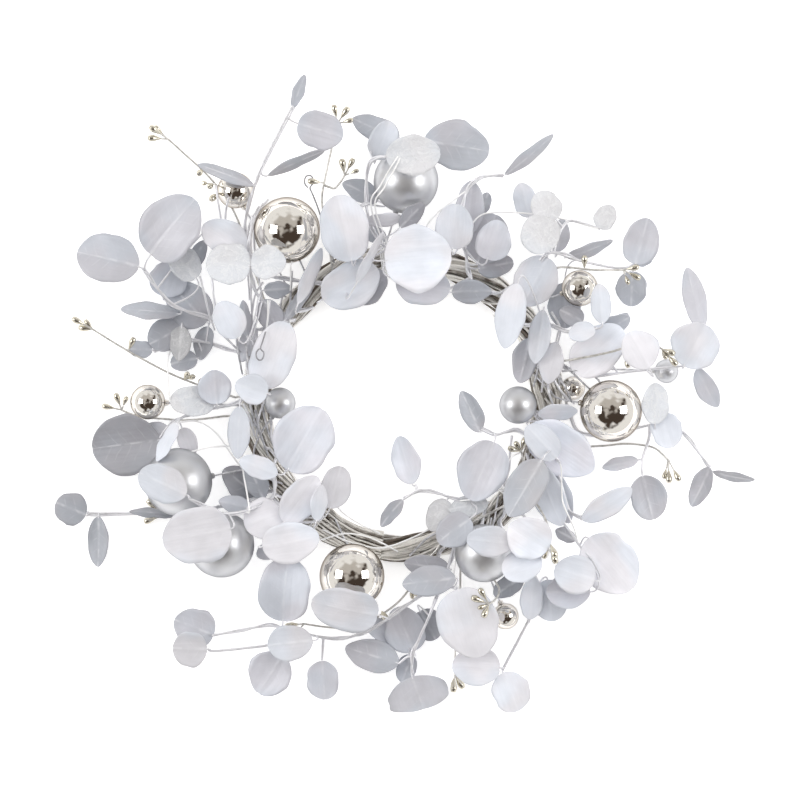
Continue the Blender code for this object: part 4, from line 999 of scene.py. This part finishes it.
def leafTree():
    # one gridded blade on every seed point, laid out by that point's own attributes
    tree, given, result = newTree("eucalyptusLeaves", {
        "Geometry": ["Seeds"], "Int": ["Stations", "Columns"], "Float": ["Thickness", "Ripple"],
        "Material": ["Silver", "White", "Frosted"]})
    add = partial(addNode, tree)
    own = {name: add("named", name, data_type="FLOAT_VECTOR") for name in ("base", "along", "side", "normal")}
    own.update({name: add("named", name) for name in (
        "length", "width", "cup", "arch", "skew", "power", "seed", "finish", "gridU", "gridV")})
    cell = add("GeometryNodeMeshGrid", 1.0, 1.0, given["Stations"], given["Columns"])
    gridX, gridY = add("split", add("GeometryNodeInputPosition"), out=slice(2))
    for name, value in (("gridU", add("ADD", gridX, 0.5)), ("gridV", add("MULTIPLY", gridY, 2.0))):
        cell = add("store", Geometry=cell, Name=name, Value=value, data_type="FLOAT")
    copies = add("GeometryNodeInstanceOnPoints", Points=given["Seeds"], Instance=cell)
    # stations crowd towards both ends, where the outline turns fastest
    u = add("MULTIPLY_ADD", add("COSINE", add("MULTIPLY", own["gridU"], math.pi)), -0.496, 0.5)
    v = own["gridV"]
    t = add("POWER", u, own["skew"])
    hump = add("MULTIPLY", add("MULTIPLY", t, add("SUBTRACT", 1.0, t)), 4.0)
    half = add("MULTIPLY", add("MULTIPLY", add("POWER", hump, own["power"]), own["width"]), 0.5)
    # no outline is a perfect oval: each side wanders in and out by its own noise
    corner = add("vector", u, add("SIGN", v), own["seed"])
    wander = add("range", add("noise", Vector=corner, Scale=2.8, Detail=1.0), 0.25, 0.75, 0.9, 1.09)
    across = add("MULTIPLY", add("MULTIPLY", half, wander), v)
    bowl = add("MULTIPLY", add("MULTIPLY", across, v), own["cup"])
    span = add("MULTIPLY", add("MULTIPLY", u, add("SUBTRACT", 1.0, u)), 4.0)
    arc = add("MULTIPLY", add("MULTIPLY", span, own["arch"]), own["length"])
    # the rim ripples by up to the Ripple input, and not at all along the midrib
    phase = add("MULTIPLY_ADD", u, 12.0, add("MULTIPLY", own["seed"], 6.3))
    phase = add("MULTIPLY_ADD", v, 1.4, phase)
    ripple = add("MULTIPLY", add("SINE", phase), add("POWER", add("ABSOLUTE", v), 3.0))
    ripple = add("MULTIPLY", add("MULTIPLY", ripple, given["Ripple"]), span)
    rise = add("ADD", add("ADD", bowl, arc), ripple)
    run = add("MULTIPLY", u, own["length"])
    spot = own["base"]
    for way, amount in (("along", run), ("side", across), ("normal", rise)):
        spot = add("moved", spot, add("scaled", own[way], amount))
    # the finish reads the place on the blade in mm along and across, and the share to the rim
    blade = add("vector", add("MULTIPLY", run, 1000.0), add("MULTIPLY", across, 1000.0), add("ABSOLUTE", v))
    sheets = add("GeometryNodeRealizeInstances", copies)
    sheets = add("store", Geometry=sheets, Name="blade", Value=blade, data_type="FLOAT_VECTOR")
    laid = add("place", Geometry=sheets, Position=spot)
    drop = add("scaled", add("GeometryNodeInputNormal"), add("MULTIPLY", given["Thickness"], -0.5))
    laid = add("place", Geometry=laid, Offset=drop)
    upper = add("GeometryNodeExtrudeMesh", Mesh=laid, Offset_Scale=given["Thickness"], Individual=False,
                mode="FACES")
    both = add("GeometryNodeJoinGeometry", upper)
    tree.links.new(add("GeometryNodeFlipFaces", laid), both.node.inputs[0])
    shape = add("GeometryNodeMergeByDistance", Geometry=both, Distance=0.01 * mm)
    shape = add("GeometryNodeSetShadeSmooth", Geometry=shape, Shade_Smooth=True)
    for index, name in enumerate(("Silver", "White", "Frosted")):
        chosen = add("FunctionNodeCompare", A=own["finish"], B=float(index), Epsilon=0.1, data_type="FLOAT",
                     operation="EQUAL")
        shape = add("GeometryNodeSetMaterial", Geometry=shape, Selection=chosen, Material=given[name])
    tree.links.new(shape, result.inputs[0])
    return tree


def twigTree():
    # a tube along every polyline, as thick at each point as that point's attribute says
    tree, given, result = newTree("taperedTwigs", {
        "Geometry": ["Lines"], "Int": ["Sides"], "Float": ["Spacing", "Wobble", "Wobble Scale", "Knots"],
        "Material": ["Finish"]})
    add = partial(addNode, tree)
    curve = add("GeometryNodeMeshToCurve", given["Lines"])
    curve = add("GeometryNodeCurveSplineType", Curve=curve, spline_type="CATMULL_ROM")
    curve = add("GeometryNodeResampleCurve", Curve=curve, Length=given["Spacing"], mode="LENGTH")
    here = add("GeometryNodeInputPosition")
    shake = add("noise", Vector=here, Scale=given["Wobble Scale"], Detail=1.0, out="Color")
    shake = add("ShaderNodeVectorMath", shake, (0.5, 0.5, 0.5), operation="SUBTRACT")
    curve = add("place", Geometry=curve, Offset=add("scaled", shake, given["Wobble"]))
    knots = add("ADD", add("noise", Vector=here, Scale=160.0, Detail=1.0), -0.5)
    radius = add("MULTIPLY", add("named", "thick"), add("MULTIPLY_ADD", knots, given["Knots"], 1.0))
    run, turn = (add("GeometryNodeSplineParameter", out=name) for name in ("Length", "Factor"))
    curve = add("store", Geometry=curve, Name="run", Value=run, data_type="FLOAT")
    curve = add("GeometryNodeSetCurveRadius", Curve=curve, Radius=radius)
    circle = add("GeometryNodeCurvePrimitiveCircle", Resolution=given["Sides"], Radius=1.0)
    circle = add("store", Geometry=circle, Name="turn", Value=turn, data_type="FLOAT")
    sweep = add("GeometryNodeCurveToMesh", Curve=curve, Profile_Curve=circle, Fill_Caps=True,
                Scale=add("GeometryNodeInputRadius"))
    # bark fibres: 6 units of noise round the twig to one every 8 mm along it
    around = add("MULTIPLY", add("named", "turn"), math.tau)
    lengthwise = add("MULTIPLY", add("named", "run"), 20.0)
    path = add("vector", lengthwise, add("COSINE", around), add("SINE", around))
    shape = add("store", Geometry=sweep, Name="path", Value=path, data_type="FLOAT_VECTOR")
    return endTree(tree, shape, given, result)


def pipTree():
    # a teardrop bud on every seed point, turned along that point's own way
    tree, given, result = newTree("teardropPips", {
        "Geometry": ["Seeds"], "Float": ["Length", "Radius"], "Material": ["Finish"]})
    add = partial(addNode, tree)
    ball = add("GeometryNodeMeshUVSphere", 14, 12, 1.0)
    x, y, z = add("split", add("GeometryNodeInputPosition"), out=slice(3))
    # narrow at the stalk, fullest two thirds along, with a puckered tip
    wide = add("MULTIPLY", add("ramp", z, -1.0, 0.7, 0.42, 1.0), given["Radius"])
    tall = add("MULTIPLY", add("MULTIPLY", z, add("MULTIPLY", given["Length"], 0.5)),
               add("range", z, 0.9, 1.0, 1.0, 0.82))
    spot = add("vector", add("MULTIPLY", x, wide), add("MULTIPLY", y, wide), tall)
    bud = add("place", Geometry=ball, Position=spot)
    way = add("named", "way", data_type="FLOAT_VECTOR")
    turn = add("FunctionNodeAlignRotationToVector", Vector=way, axis="Z")
    copies = add("GeometryNodeInstanceOnPoints", Points=given["Seeds"], Instance=bud, Rotation=turn,
                 Scale=add("named", "size"))
    return endTree(tree, copies, given, result)


def seedMesh(name, spots, edges, values):
    # points, and edges where they form lines, with one attribute for each value's name
    mesh = bpy.data.meshes.new(name)
    mesh.from_pydata([tuple(s) for s in spots], edges, [])
    for key, rows in values.items():
        vector = hasattr(rows[0], "__len__")
        layer = mesh.attributes.new(key, "FLOAT_VECTOR" if vector else "FLOAT", "POINT")
        for item, value in zip(layer.data, rows):
            setattr(item, "vector" if vector else "value", value)
    return mesh


def shownObject(name, data):
    holder = bpy.data.objects.new(name, data)
    bpy.context.scene.collection.objects.link(holder)
    return holder


def grow(name, tree, mesh, inputs):
    # runs the tree on the seed mesh and keeps the result as a plain mesh
    holder = shownObject(name, mesh)
    modifier = holder.modifiers.new("grow", "NODES")
    modifier.node_group = tree
    sockets = {item.name: item.identifier for item in tree.interface.items_tree if item.in_out == "INPUT"}
    for key, value in inputs.items():
        modifier[sockets[key]] = value
    bpy.context.view_layer.update()
    depsgraph = bpy.context.evaluated_depsgraph_get()
    grown = bpy.data.meshes.new_from_object(holder.evaluated_get(depsgraph), depsgraph=depsgraph)
    holder.modifiers.clear()
    holder.data = grown
    grown.name = name
    bpy.data.meshes.remove(mesh)
    return holder


def lines(name, routes):
    # each route is a list of (spot, thick, tone): one polyline of the twig tree
    spots, edges, thick, tone = [], [], [], []
    for route in routes:
        start = len(spots)
        for spot, wide, shade in route:
            spots.append(spot)
            thick.append(wide)
            tone.append(shade)
        edges += [(k, k + 1) for k in range(start, len(spots) - 1)]
    return seedMesh(name, spots, edges, {"thick": thick, "tone": tone})


leafGroup, twigGroup, pipGroup = leafTree(), twigTree(), pipTree()
layout = layOut()
ringLow = [min(point[k] for point in ringMesh()[0]) for k in range(3)]
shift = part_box("vine_ring")[0] - Vector(ringLow)
print("layout repeated, shift in mm", [round(v / mm, 2) for v in shift])

leafMake = {"Stations": 25, "Columns": 13, "Thickness": 0.55 * mm, "Ripple": 0.5 * mm,
            "Silver": materials["silverSatinLeaf"], "White": materials["whiteSatinLeaf"],
            "Frosted": materials["frostedLeaf"]}
stemMake = {"Sides": 10, "Spacing": 1.6 * mm, "Wobble": 0.5 * mm, "Wobble Scale": 90.0, "Knots": 0.25,
            "Finish": materials["silveredTape"]}
finishIndex = {"s": 0.0, "w": 1.0, "f": 2.0}
slotOfLeaf = {"s": "silver_satin_leaf", "w": "white_satin_leaf", "f": "white_satin_leaf"}
companionWire = {"radius": 0.65 * mm, "turn": 50 * mm, "tone": 0.85}
stemTone = 0.75
studioLight = 0.95


def greyOf(tone):
    # linear brightness of a shade step, so that the render shows that step
    return ((0.49 + 0.047 * tone) ** 2.2) / studioLight


def leafSeeds(name, rows):
    draw = random.Random(name)
    values = {key: [frame[key] for leaf, frame, root in rows]
              for key in ("along", "side", "normal", "length", "width")}
    values.update({key: [leaf[key] for leaf, frame, root in rows]
                   for key in ("cup", "arch", "skew", "power")})
    values["base"] = [frame["base"] + shift for leaf, frame, root in rows]
    values["seed"] = [draw.random() * 10 for row in rows]
    values["finish"] = [finishIndex[leaf["finish"]] for leaf, frame, root in rows]
    # the tone carries each leaf's own grey together with its painted light and shade
    values["tone"] = [greyOf(leaf["tone"]) for leaf, frame, root in rows]
    return seedMesh(name + "_seeds", values["base"], [], values)


def tapered(route, start, end, tone):
    step = (end - start) / (len(route) - 1)
    return [(point + shift, start + step * k, tone) for k, point in enumerate(route)]


def stalk(leaf, frame, root):
    # from inside the stem to the blade, and on as its midrib, thinning out under the blade
    route = tapered(stalkRoute(root, frame, 6), stalkRadius, stalkRadius * 0.75, stemTone)
    for u in (0.06, 0.16, 0.3, 0.45, 0.6):
        under = bladeSpot(leaf, frame, u, 0) - frame["normal"] * 0.35 * mm
        route.append((under + shift, stalkRadius * (0.75 - 0.9 * u), stemTone))
    return route


def companion(route, phase):
    # a second, thinner wire wound loosely along the stem
    wound, run, radius = [], 0, companionWire["radius"]
    for k, point in enumerate(route):
        way = (route[min(k + 1, len(route) - 1)] - route[max(k - 1, 0)]).normalized()
        run += (point - route[k - 1]).length if k else 0
        side = way.cross(Vector((0, 0, 1))).normalized()
        turn = phase + math.tau * run / companionWire["turn"]
        place = point + (side * math.cos(turn) + side.cross(way) * math.sin(turn)) * (stemRadius + radius)
        place.z = max(place.z, radius)
        wound.append((place + shift, radius, companionWire["tone"]))
    return wound


pieces = []
for name in sprays:
    rows, routes = layout["leaves"][name], layout["stems"][name]
    leaves = grow(name + "_leaves", leafGroup, leafSeeds(name, rows), leafMake)
    kinds = [leaf["finish"] for leaf, frame, root in rows]
    stems = [tapered(route, stemRadius * 1.05, stemRadius * 0.8, stemTone) for route in routes]
    stems += [companion(route, len(route) + k) for k, route in enumerate(routes) if len(route) > 8]
    stems += [stalk(*row) for row in rows]
    wires = grow(name + "_stems", twigGroup, lines(name, stems), stemMake)
    for piece in (leaves, wires):
        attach(piece, "root")
        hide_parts(name)
    # looks up the slot of most leaves, the white one where two kinds tie, and keeps it nowhere
    slotOfLeaf[max("swf", key=lambda kind: (kinds.count(kind), kind != "s"))]
    pieces += [leaves, wires]
print("sprays grown", len(sprays))

pipStemMake = dict(stemMake, Finish=materials["champagneTape"])
pipMake = {"Length": pipLength * 1.2, "Radius": pipRadius * 1.25, "Finish": materials["champagnePlating"]}
twinBud = {"angle": math.radians(42), "size": 0.8, "stalk": 0.6 * mm}
for name in twigs:
    stems = [tapered(route, twigRadius, twigRadius * 0.85, 0.5) for route in layout["stems"][name]]
    spots, ways, sizes = [], [], []
    draw = random.Random(name)
    for k, (root, middle) in enumerate(layout["pips"][name]):
        # every other bud has a smaller twin beside it on the same twig, and all lie nearly flat
        way = middle - root
        way.z *= 0.35
        way = way.normalized()
        twin = Matrix.Rotation(twinBud["angle"] * (-1) ** k, 3, "Z") @ way
        beside = root + twin * (middle - root).length * twinBud["size"]
        for turned, place, size in ((way, middle, 1.0), (twin, beside, twinBud["size"]))[:1 + k % 2]:
            start = place - turned * pipLength * 0.5
            stems.append([(p + shift, twinBud["stalk"], 0.5) for p in (root, root.lerp(start, 0.5), start)])
            spots.append(place + shift)
            ways.append(turned)
            sizes.append(size * draw.uniform(0.9, 1.1))
    wires = grow(name + "_stems", twigGroup, lines(name, stems), pipStemMake)
    seeds = seedMesh(name + "_seeds", spots, [], {"way": ways, "size": sizes})
    pips = grow(name + "_pips", pipGroup, seeds, pipMake)
    for piece in (wires, pips):
        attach(piece, "root")
        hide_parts(name)
    pieces += [wires, pips]
print("pip twigs grown", len(twigs))

ballMake = {"segments": 64, "rings": 40, "collarRadius": 2.2 * mm, "collarLength": 3.0 * mm}


def lathe(body, profile, centre, way, sides):
    # turns a profile of (along, radius) about the way through the centre
    across = way.orthogonal().normalized()
    other = way.cross(across)
    turns = [math.tau * k / sides for k in range(sides)]
    out = [across * math.cos(turn) + other * math.sin(turn) for turn in turns]
    rows = [[body.verts.new(centre + way * along + outward * radius) for outward in out]
            for along, radius in profile]
    for a, b in zip(rows, rows[1:]):
        for k in range(sides):
            body.faces.new((a[k], a[(k + 1) % sides], b[(k + 1) % sides], b[k]))
    body.faces.new(list(reversed(rows[0])))
    body.faces.new(rows[-1])


def ballProfile(size):
    # a ball open towards its wire, and a small collar round the opening
    collar, long = ballMake["collarRadius"], ballMake["collarLength"]
    opening = math.asin(collar / size)
    neck = size * math.cos(opening)
    angles = [math.pi * k / ballMake["rings"] for k in range(ballMake["rings"] + 1)]
    profile = [(-size * math.cos(a), max(size * math.sin(a), 0.05 * mm)) for a in angles
               if a < math.pi - opening]
    return neck, profile + [(neck, collar), (neck + long * 0.8, collar * 0.92), (neck + long, collar * 0.6),
                            (neck + long, 0.5 * mm)]


for name, (x, y, high, radius, finish, root) in baubles.items():
    centre = spot(x, y, high) + shift
    route = [point + shift for point in layout["wires"][name]]
    way = (route[-2] - centre).normalized()
    neck, profile = ballProfile(radius * mm)
    body = bmesh.new()
    lathe(body, profile, centre, way, ballMake["segments"])
    bmesh.ops.recalc_face_normals(body, faces=body.faces)
    mesh = bpy.data.meshes.new(name)
    body.to_mesh(mesh)
    body.free()
    mesh.shade_smooth()
    mesh.materials.append(materials["mirrorPlating" if finish == "m" else "satinPlating"])
    ball = shownObject(name + "_ball", mesh)
    bound = [(point, wireRadius * 0.9, 0.5) for point in route[:-1] + [centre + way * neck]]
    wire = grow(name + "_wire", twigGroup, lines(name, [bound]), stemMake)
    for piece in (ball, wire):
        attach(piece, "root")
        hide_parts(name)
    pieces += [ball, wire]
print("baubles turned", len(baubles))

# The ring: vine twigs 1.4 to 3 mm thick, each wound part of the way round the bundle
ringMake = {"twigs": 76, "coreReach": 9.6 * mm, "thinnest": 0.7 * mm, "thickest": 1.5 * mm, "turns": 3.0,
            "looseEnds": 14, "stations": 90, "tones": (0.0, 0.2, 0.5, 0.8, 1.0, 1.15)}
draw = random.Random(11)
vines = []
for k in range(ringMake["twigs"]):
    wide = draw.uniform(ringMake["thinnest"], ringMake["thickest"])
    reach = (ringMake["coreReach"] - wide * 0.4) * (0.45 + 0.55 * math.sqrt(draw.random()))
    start, sweep = draw.uniform(0, math.tau), draw.uniform(0.45, 0.95) * math.tau
    phase, turns = draw.uniform(0, math.tau), ringMake["turns"] * draw.uniform(0.8, 1.25)
    tone = draw.choice(ringMake["tones"])
    sway, swayPhase = draw.uniform(0.5, 1.6) * mm, draw.uniform(0, math.tau)
    route = []
    for j in range(ringMake["stations"] + 1):
        share = j / ringMake["stations"]
        angle = start + sweep * share
        out = reach + sway * math.sin(5 * angle + swayPhase)
        out = min(out, bundleRadius + 0.6 * mm - wide)
        if k < ringMake["looseEnds"] and share > 0.94:
            out += (share - 0.94) / 0.06 * 5 * mm
        place = ringSpot(angle, phase + turns * angle, out) + shift
        place.z = max(place.z, wide + 0.1 * mm)
        taper = min(1, share * 14, (1 - share) * 10 + 0.3)
        route.append((place, wide * taper, tone))
    vines.append(route)
# the bundle's tied end, low on the left: twig ends that fan out of the last winding
tiedEnd = {"angle": math.radians(236), "twigs": 12, "length": math.radians(26), "cut": math.radians(3),
           "stations": 12, "tones": (0.3, 0.6, 0.9, 1.1)}
for k in range(tiedEnd["twigs"]):
    wide = draw.uniform(0.7, 1.3) * mm
    side = math.radians(20 + 150 * k / (tiedEnd["twigs"] - 1))
    tone = draw.choice(tiedEnd["tones"])
    flare = draw.uniform(0.5, 3.0) * mm
    route = []
    for j in range(tiedEnd["stations"] + 1):
        share = j / tiedEnd["stations"]
        cut = tiedEnd["cut"] * draw.random() * (share > 0.95)
        angle = tiedEnd["angle"] + tiedEnd["length"] * (1 - share) - cut
        out = bundleRadius - wide * 0.6 + flare * share ** 4
        route.append((ringSpot(angle, side + 0.4 * share, out) + shift, wide * (1 - 0.2 * share), tone))
    vines.append(route)
ringTwigs = grow("vine_ring_twigs", twigGroup, lines("vines", vines),
                 {"Sides": 6, "Spacing": 3.6 * mm, "Wobble": 1.8 * mm, "Wobble Scale": 80.0, "Knots": 0.5,
                  "Finish": materials["washedVine"]})

# Silver wire binds the bundle in a few places, four turns at each
ties = {"places": (233, 318, 20, 96, 168), "turns": 4, "wire": 0.55 * mm, "advance": math.radians(0.7),
        "steps": 20, "tone": 0.9}
bands = []
for place in ties["places"]:
    band = []
    for j in range(ties["turns"] * ties["steps"] + 1):
        turn = j / ties["steps"]
        angle = math.radians(place) + ties["advance"] * turn
        point = ringSpot(angle, math.tau * turn, bundleRadius + 0.5 * mm) + shift
        point.z = max(point.z, ties["wire"])
        band.append((point, ties["wire"], ties["tone"]))
    bands.append(band)

# Loose wires between the sprays, in grid x, grid y and height in mm, as the photo shows them
looseWires = (
    [(243, 440, 30), (243, 466, 44), (250, 508, 54), (247, 512, 50)],
    [(169, 350, 16), (167, 362, 24), (169, 392, 36), (170, 400, 36)],
    [(172, 424, 32), (195, 421, 32), (215, 432, 30), (235, 460, 24), (252, 480, 20)],
    [(190, 452, 34), (212, 447, 28), (240, 446, 20)],
    [(288, 330, 20), (290, 312, 26), (291, 272, 44), (292, 262, 44)],
    [(262, 352, 20), (264, 342, 28), (268, 317, 40), (268, 300, 44)],
    [(459, 501, 34), (480, 498, 40), (500, 490, 32), (507, 495, 20)],
    [(521, 452, 38), (509, 460, 42), (506, 480, 40), (510, 503, 26), (512, 510, 18)],
    [(524, 490, 22), (530, 497, 34), (543, 516, 52), (548, 542, 64), (546, 556, 66)],
    [(556, 460, 30), (561, 468, 38), (562, 500, 46), (572, 524, 44), (578, 542, 38)],
    [(470, 520, 24), (458, 538, 38), (455, 564, 38), (452, 586, 44)],
    [(384, 246, 38), (371, 206, 58), (380, 188, 65), (391, 169, 67), (398, 158, 66)],
    [(388, 246, 38), (375, 207, 59), (384, 190, 66), (394, 172, 68), (400, 160, 66)],
    [(466, 232, 46), (485, 214, 44), (530, 214, 42), (562, 219, 40), (598, 229, 37)],
    [(468, 190, 48), (448, 205, 50), (428, 224, 44), (420, 250, 24)],
    [(322, 530, 20), (352, 543, 30), (382, 548, 32), (412, 538, 30), (436, 526, 22)],
    [(330, 496, 26), (342, 512, 32), (360, 524, 30), (380, 534, 22)],
    [(318, 541, 18), (345, 534, 28), (370, 538, 30), (398, 552, 22)],
)

# Loose stems in the same silvered tape, tucked between the ring and the leaves
looseStems = (
    [(216, 186, 40), (218, 200, 40), (221, 218, 36), (224, 240, 24)],
    [(229, 198, 44), (226, 214, 40), (227, 240, 28), (236, 262, 20)],
    [(263, 203, 30), (254, 222, 34), (251, 240, 38), (252, 262, 40), (251, 290, 36), (252, 326, 24)],
    [(259, 206, 26), (249, 226, 30), (247, 250, 32), (249, 300, 24)],
    [(268, 199, 24), (257, 214, 30), (254, 236, 34), (256, 262, 26), (262, 300, 14)],
    [(200, 276, 40), (204, 292, 38), (208, 310, 32), (214, 330, 24)],
    [(212, 277, 36), (214, 296, 36), (216, 316, 30)],
    [(263, 282, 36), (255, 295, 34), (252, 312, 28)],
    [(292, 271, 40), (291, 290, 36), (289, 314, 24), (284, 330, 14)],
    [(270, 300, 34), (268, 318, 32), (266, 336, 22)],
    [(246, 345, 30), (248, 360, 34), (252, 378, 30)],
    [(252, 340, 26), (256, 356, 32), (259, 372, 26)],
    [(249, 402, 26), (254, 420, 32), (262, 440, 26)],
    [(262, 404, 26), (266, 424, 32), (273, 446, 24)],
    [(255, 410, 28), (260, 432, 34), (268, 456, 24)],
    [(271, 420, 26), (272, 440, 30), (280, 462, 20)],
    [(552, 312, 24), (560, 328, 34), (557, 346, 36), (548, 362, 26)],
    [(537, 352, 26), (538, 368, 34), (534, 386, 24)],
    [(541, 360, 26), (543, 376, 34), (542, 392, 24)],
    [(553, 378, 34), (562, 392, 32), (575, 404, 24)],
    [(566, 366, 30), (580, 380, 32), (594, 392, 24)],
    [(512, 436, 30), (510, 452, 36), (509, 470, 34), (504, 486, 22)],
    [(410, 556, 16), (428, 538, 28), (450, 528, 30), (470, 520, 24)],
    [(433, 563, 14), (446, 546, 26), (462, 532, 26)],
    [(551, 352, 26), (557, 368, 34), (560, 384, 26)],
    [(556, 374, 26), (566, 388, 34), (572, 402, 26)],
    [(548, 378, 26), (549, 392, 34), (553, 404, 26)],
    [(563, 371, 28), (575, 370, 36), (588, 373, 28)],
    [(590, 371, 26), (600, 382, 34), (607, 394, 24)],
    [(545, 340, 24), (540, 356, 32), (545, 372, 26)],
    [(236, 334, 26), (238, 352, 34), (242, 374, 24)],
    [(257, 336, 26), (252, 352, 34), (250, 370, 24)],
    [(224, 336, 26), (232, 344, 34), (240, 352, 24)],
    [(243, 404, 24), (250, 418, 34), (254, 436, 24)],
    [(266, 398, 24), (259, 416, 34), (256, 438, 24)],
)

# Wires whose end is bent into a small eye
wireEyes = (
    [(334, 262, 16), (327, 236, 22), (318, 208, 32), (313, 195, 36), (310, 188, 38), (313, 184, 39),
     (313, 179, 40), (311, 176, 40), (307, 176, 40), (305, 179, 40), (305, 184, 40), (308, 188, 39)],
    [(266, 332, 46), (263, 342, 48), (261, 349, 49), (264, 352, 49), (264, 357, 49), (262, 360, 49),
     (259, 360, 49), (257, 357, 49), (257, 352, 49), (260, 349, 49)],
)
strayMake = {"tones": (0.35, 0.6, 0.85), "eyeStart": 0.55 * mm, "eyeEnd": 0.5 * mm, "eyeTone": 0.0,
             "looseWire": 0.6 * mm, "looseTone": 0.95}
wireMake = {"Sides": 8, "Spacing": 1.2 * mm, "Wobble": 0.4 * mm, "Wobble Scale": 80.0, "Knots": 0.1,
            "Finish": materials["whiteWire"]}


def gridRoute(points):
    return smoothRoute([spot(*point) for point in points], 4)


draw = random.Random(5)
strays = [tapered(gridRoute(points), stemRadius * 0.8, stemRadius * 0.6, draw.choice(strayMake["tones"]))
          for points in looseStems]
strays += [tapered(gridRoute(points), strayMake["eyeStart"], strayMake["eyeEnd"], strayMake["eyeTone"])
           for points in wireEyes]
looseTwigs = grow("loose_stems", twigGroup, lines("loose_stems", strays), stemMake)
bands += [[(point + shift, strayMake["looseWire"], strayMake["looseTone"]) for point in gridRoute(points)]
          for points in looseWires]
ringWires = grow("binding_wires", twigGroup, lines("binding_wires", bands), wireMake)
for piece in (ringTwigs, looseTwigs, ringWires):
    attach(piece, "root")
    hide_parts("vine_ring")
    pieces.append(piece)
print("vine ring wound")

# Studio: a pale floor that glows a little like a light table, two soft boxes beside the
# camera that the baubles mirror, and a broad soft light above.
studio = {"floorReach": 6.0, "boxWidth": 1.0, "boxPower": 15.0, "topWidth": 3.2, "topPower": 58.0,
          "leftBox": (-1.65, 0.15, 1.5), "rightBox": (1.65, 0.15, 1.5), "topPlace": (0, 0.8, 3.2),
          "imageMiddle": (400, 400), "cameraHeight": 4.0, "imageWidth": 0.576, "focusHeight": 0.035,
          "sensor": 36.0}
floorMaterial, floorTree, floorShader = newMaterial("paleFloor", {
    "Base Color": paint("F4F4F4"), "Roughness": 0.9, "Emission Color": (1, 1, 1, 1),
    "Emission Strength": 0.45})
mesh = bpy.data.meshes.new("floor")
side = studio["floorReach"]
mesh.from_pydata([(-side, -side, 0), (side, -side, 0), (side, side, 0), (-side, side, 0)], [], [(0, 1, 2, 3)])
mesh.materials.append(floorMaterial)
floor = shownObject("floor", mesh)


def areaLight(name, place, size, power):
    # a square light that looks at the middle of the wreath
    light = bpy.data.lights.new(name, "AREA")
    light.shape, light.size, light.energy = "SQUARE", size, power
    holder = shownObject(name, light)
    holder.location = place
    holder.rotation_mode = "QUATERNION"
    holder.rotation_quaternion = (-Vector(place)).to_track_quat("-Z", "Y")
    return holder


areaLight("soft_box_left", studio["leftBox"], studio["boxWidth"], studio["boxPower"])
areaLight("soft_box_right", studio["rightBox"], studio["boxWidth"], studio["boxPower"])
topLight = areaLight("top_light", studio["topPlace"], studio["topWidth"], studio["topPower"])
topLight.visible_glossy = False

# The room: pale near the horizon, beige above, and brown round the camera, as the baubles
# show it
room = {"horizon": "F2F1EF", "ceiling": "C2BDB7", "patch": "463C35", "cloudScale": 2.1,
        "patchDrift": 3.2, "patchFrom": 1.45, "patchTo": 2.0,
        "wallDrift": -1.5, "wallFrom": -0.42, "wallTo": -0.12}
world = bpy.data.worlds.new("studio")
bpy.context.scene.world = world
world.use_nodes = True
add = partial(addNode, world.node_tree)
way = add("ShaderNodeTexCoord", out="Generated")
north, upward = add("split", way, out=slice(1, 3))
drift = add("noise", Vector=way, Scale=room["cloudScale"], Detail=1.5)
slope = add("MULTIPLY_ADD", drift, room["patchDrift"], north)
patch = add("ramp", slope, room["patchFrom"], room["patchTo"], 1.0, 0.0)
overhead = add("mix", patch, paint(room["ceiling"]), paint(room["patch"]))
wallHeight = add("MULTIPLY_ADD", drift, room["wallDrift"], upward)
ceiling = add("ramp", wallHeight, room["wallFrom"], room["wallTo"], 0.0, 1.0)
background = world.node_tree.nodes["Background"]
world.node_tree.links.new(add("mix", ceiling, paint(room["horizon"]), overhead), background.inputs["Color"])
background.inputs["Strength"].default_value = 1.0
bpy.context.scene.view_settings.view_transform = "Standard"

camera = bpy.data.cameras.new("camera")
camera.sensor_width = studio["sensor"]
camera.lens = studio["sensor"] * (studio["cameraHeight"] - studio["focusHeight"]) / studio["imageWidth"]
camera.clip_end = 50
viewer = shownObject("camera", camera)
viewer.location = spot(*studio["imageMiddle"], 0) + shift + Vector((0, 0, studio["cameraHeight"]))
bpy.context.scene.camera = viewer
print("triangles", sum(len(face.vertices) - 2 for piece in pieces for face in piece.data.polygons))
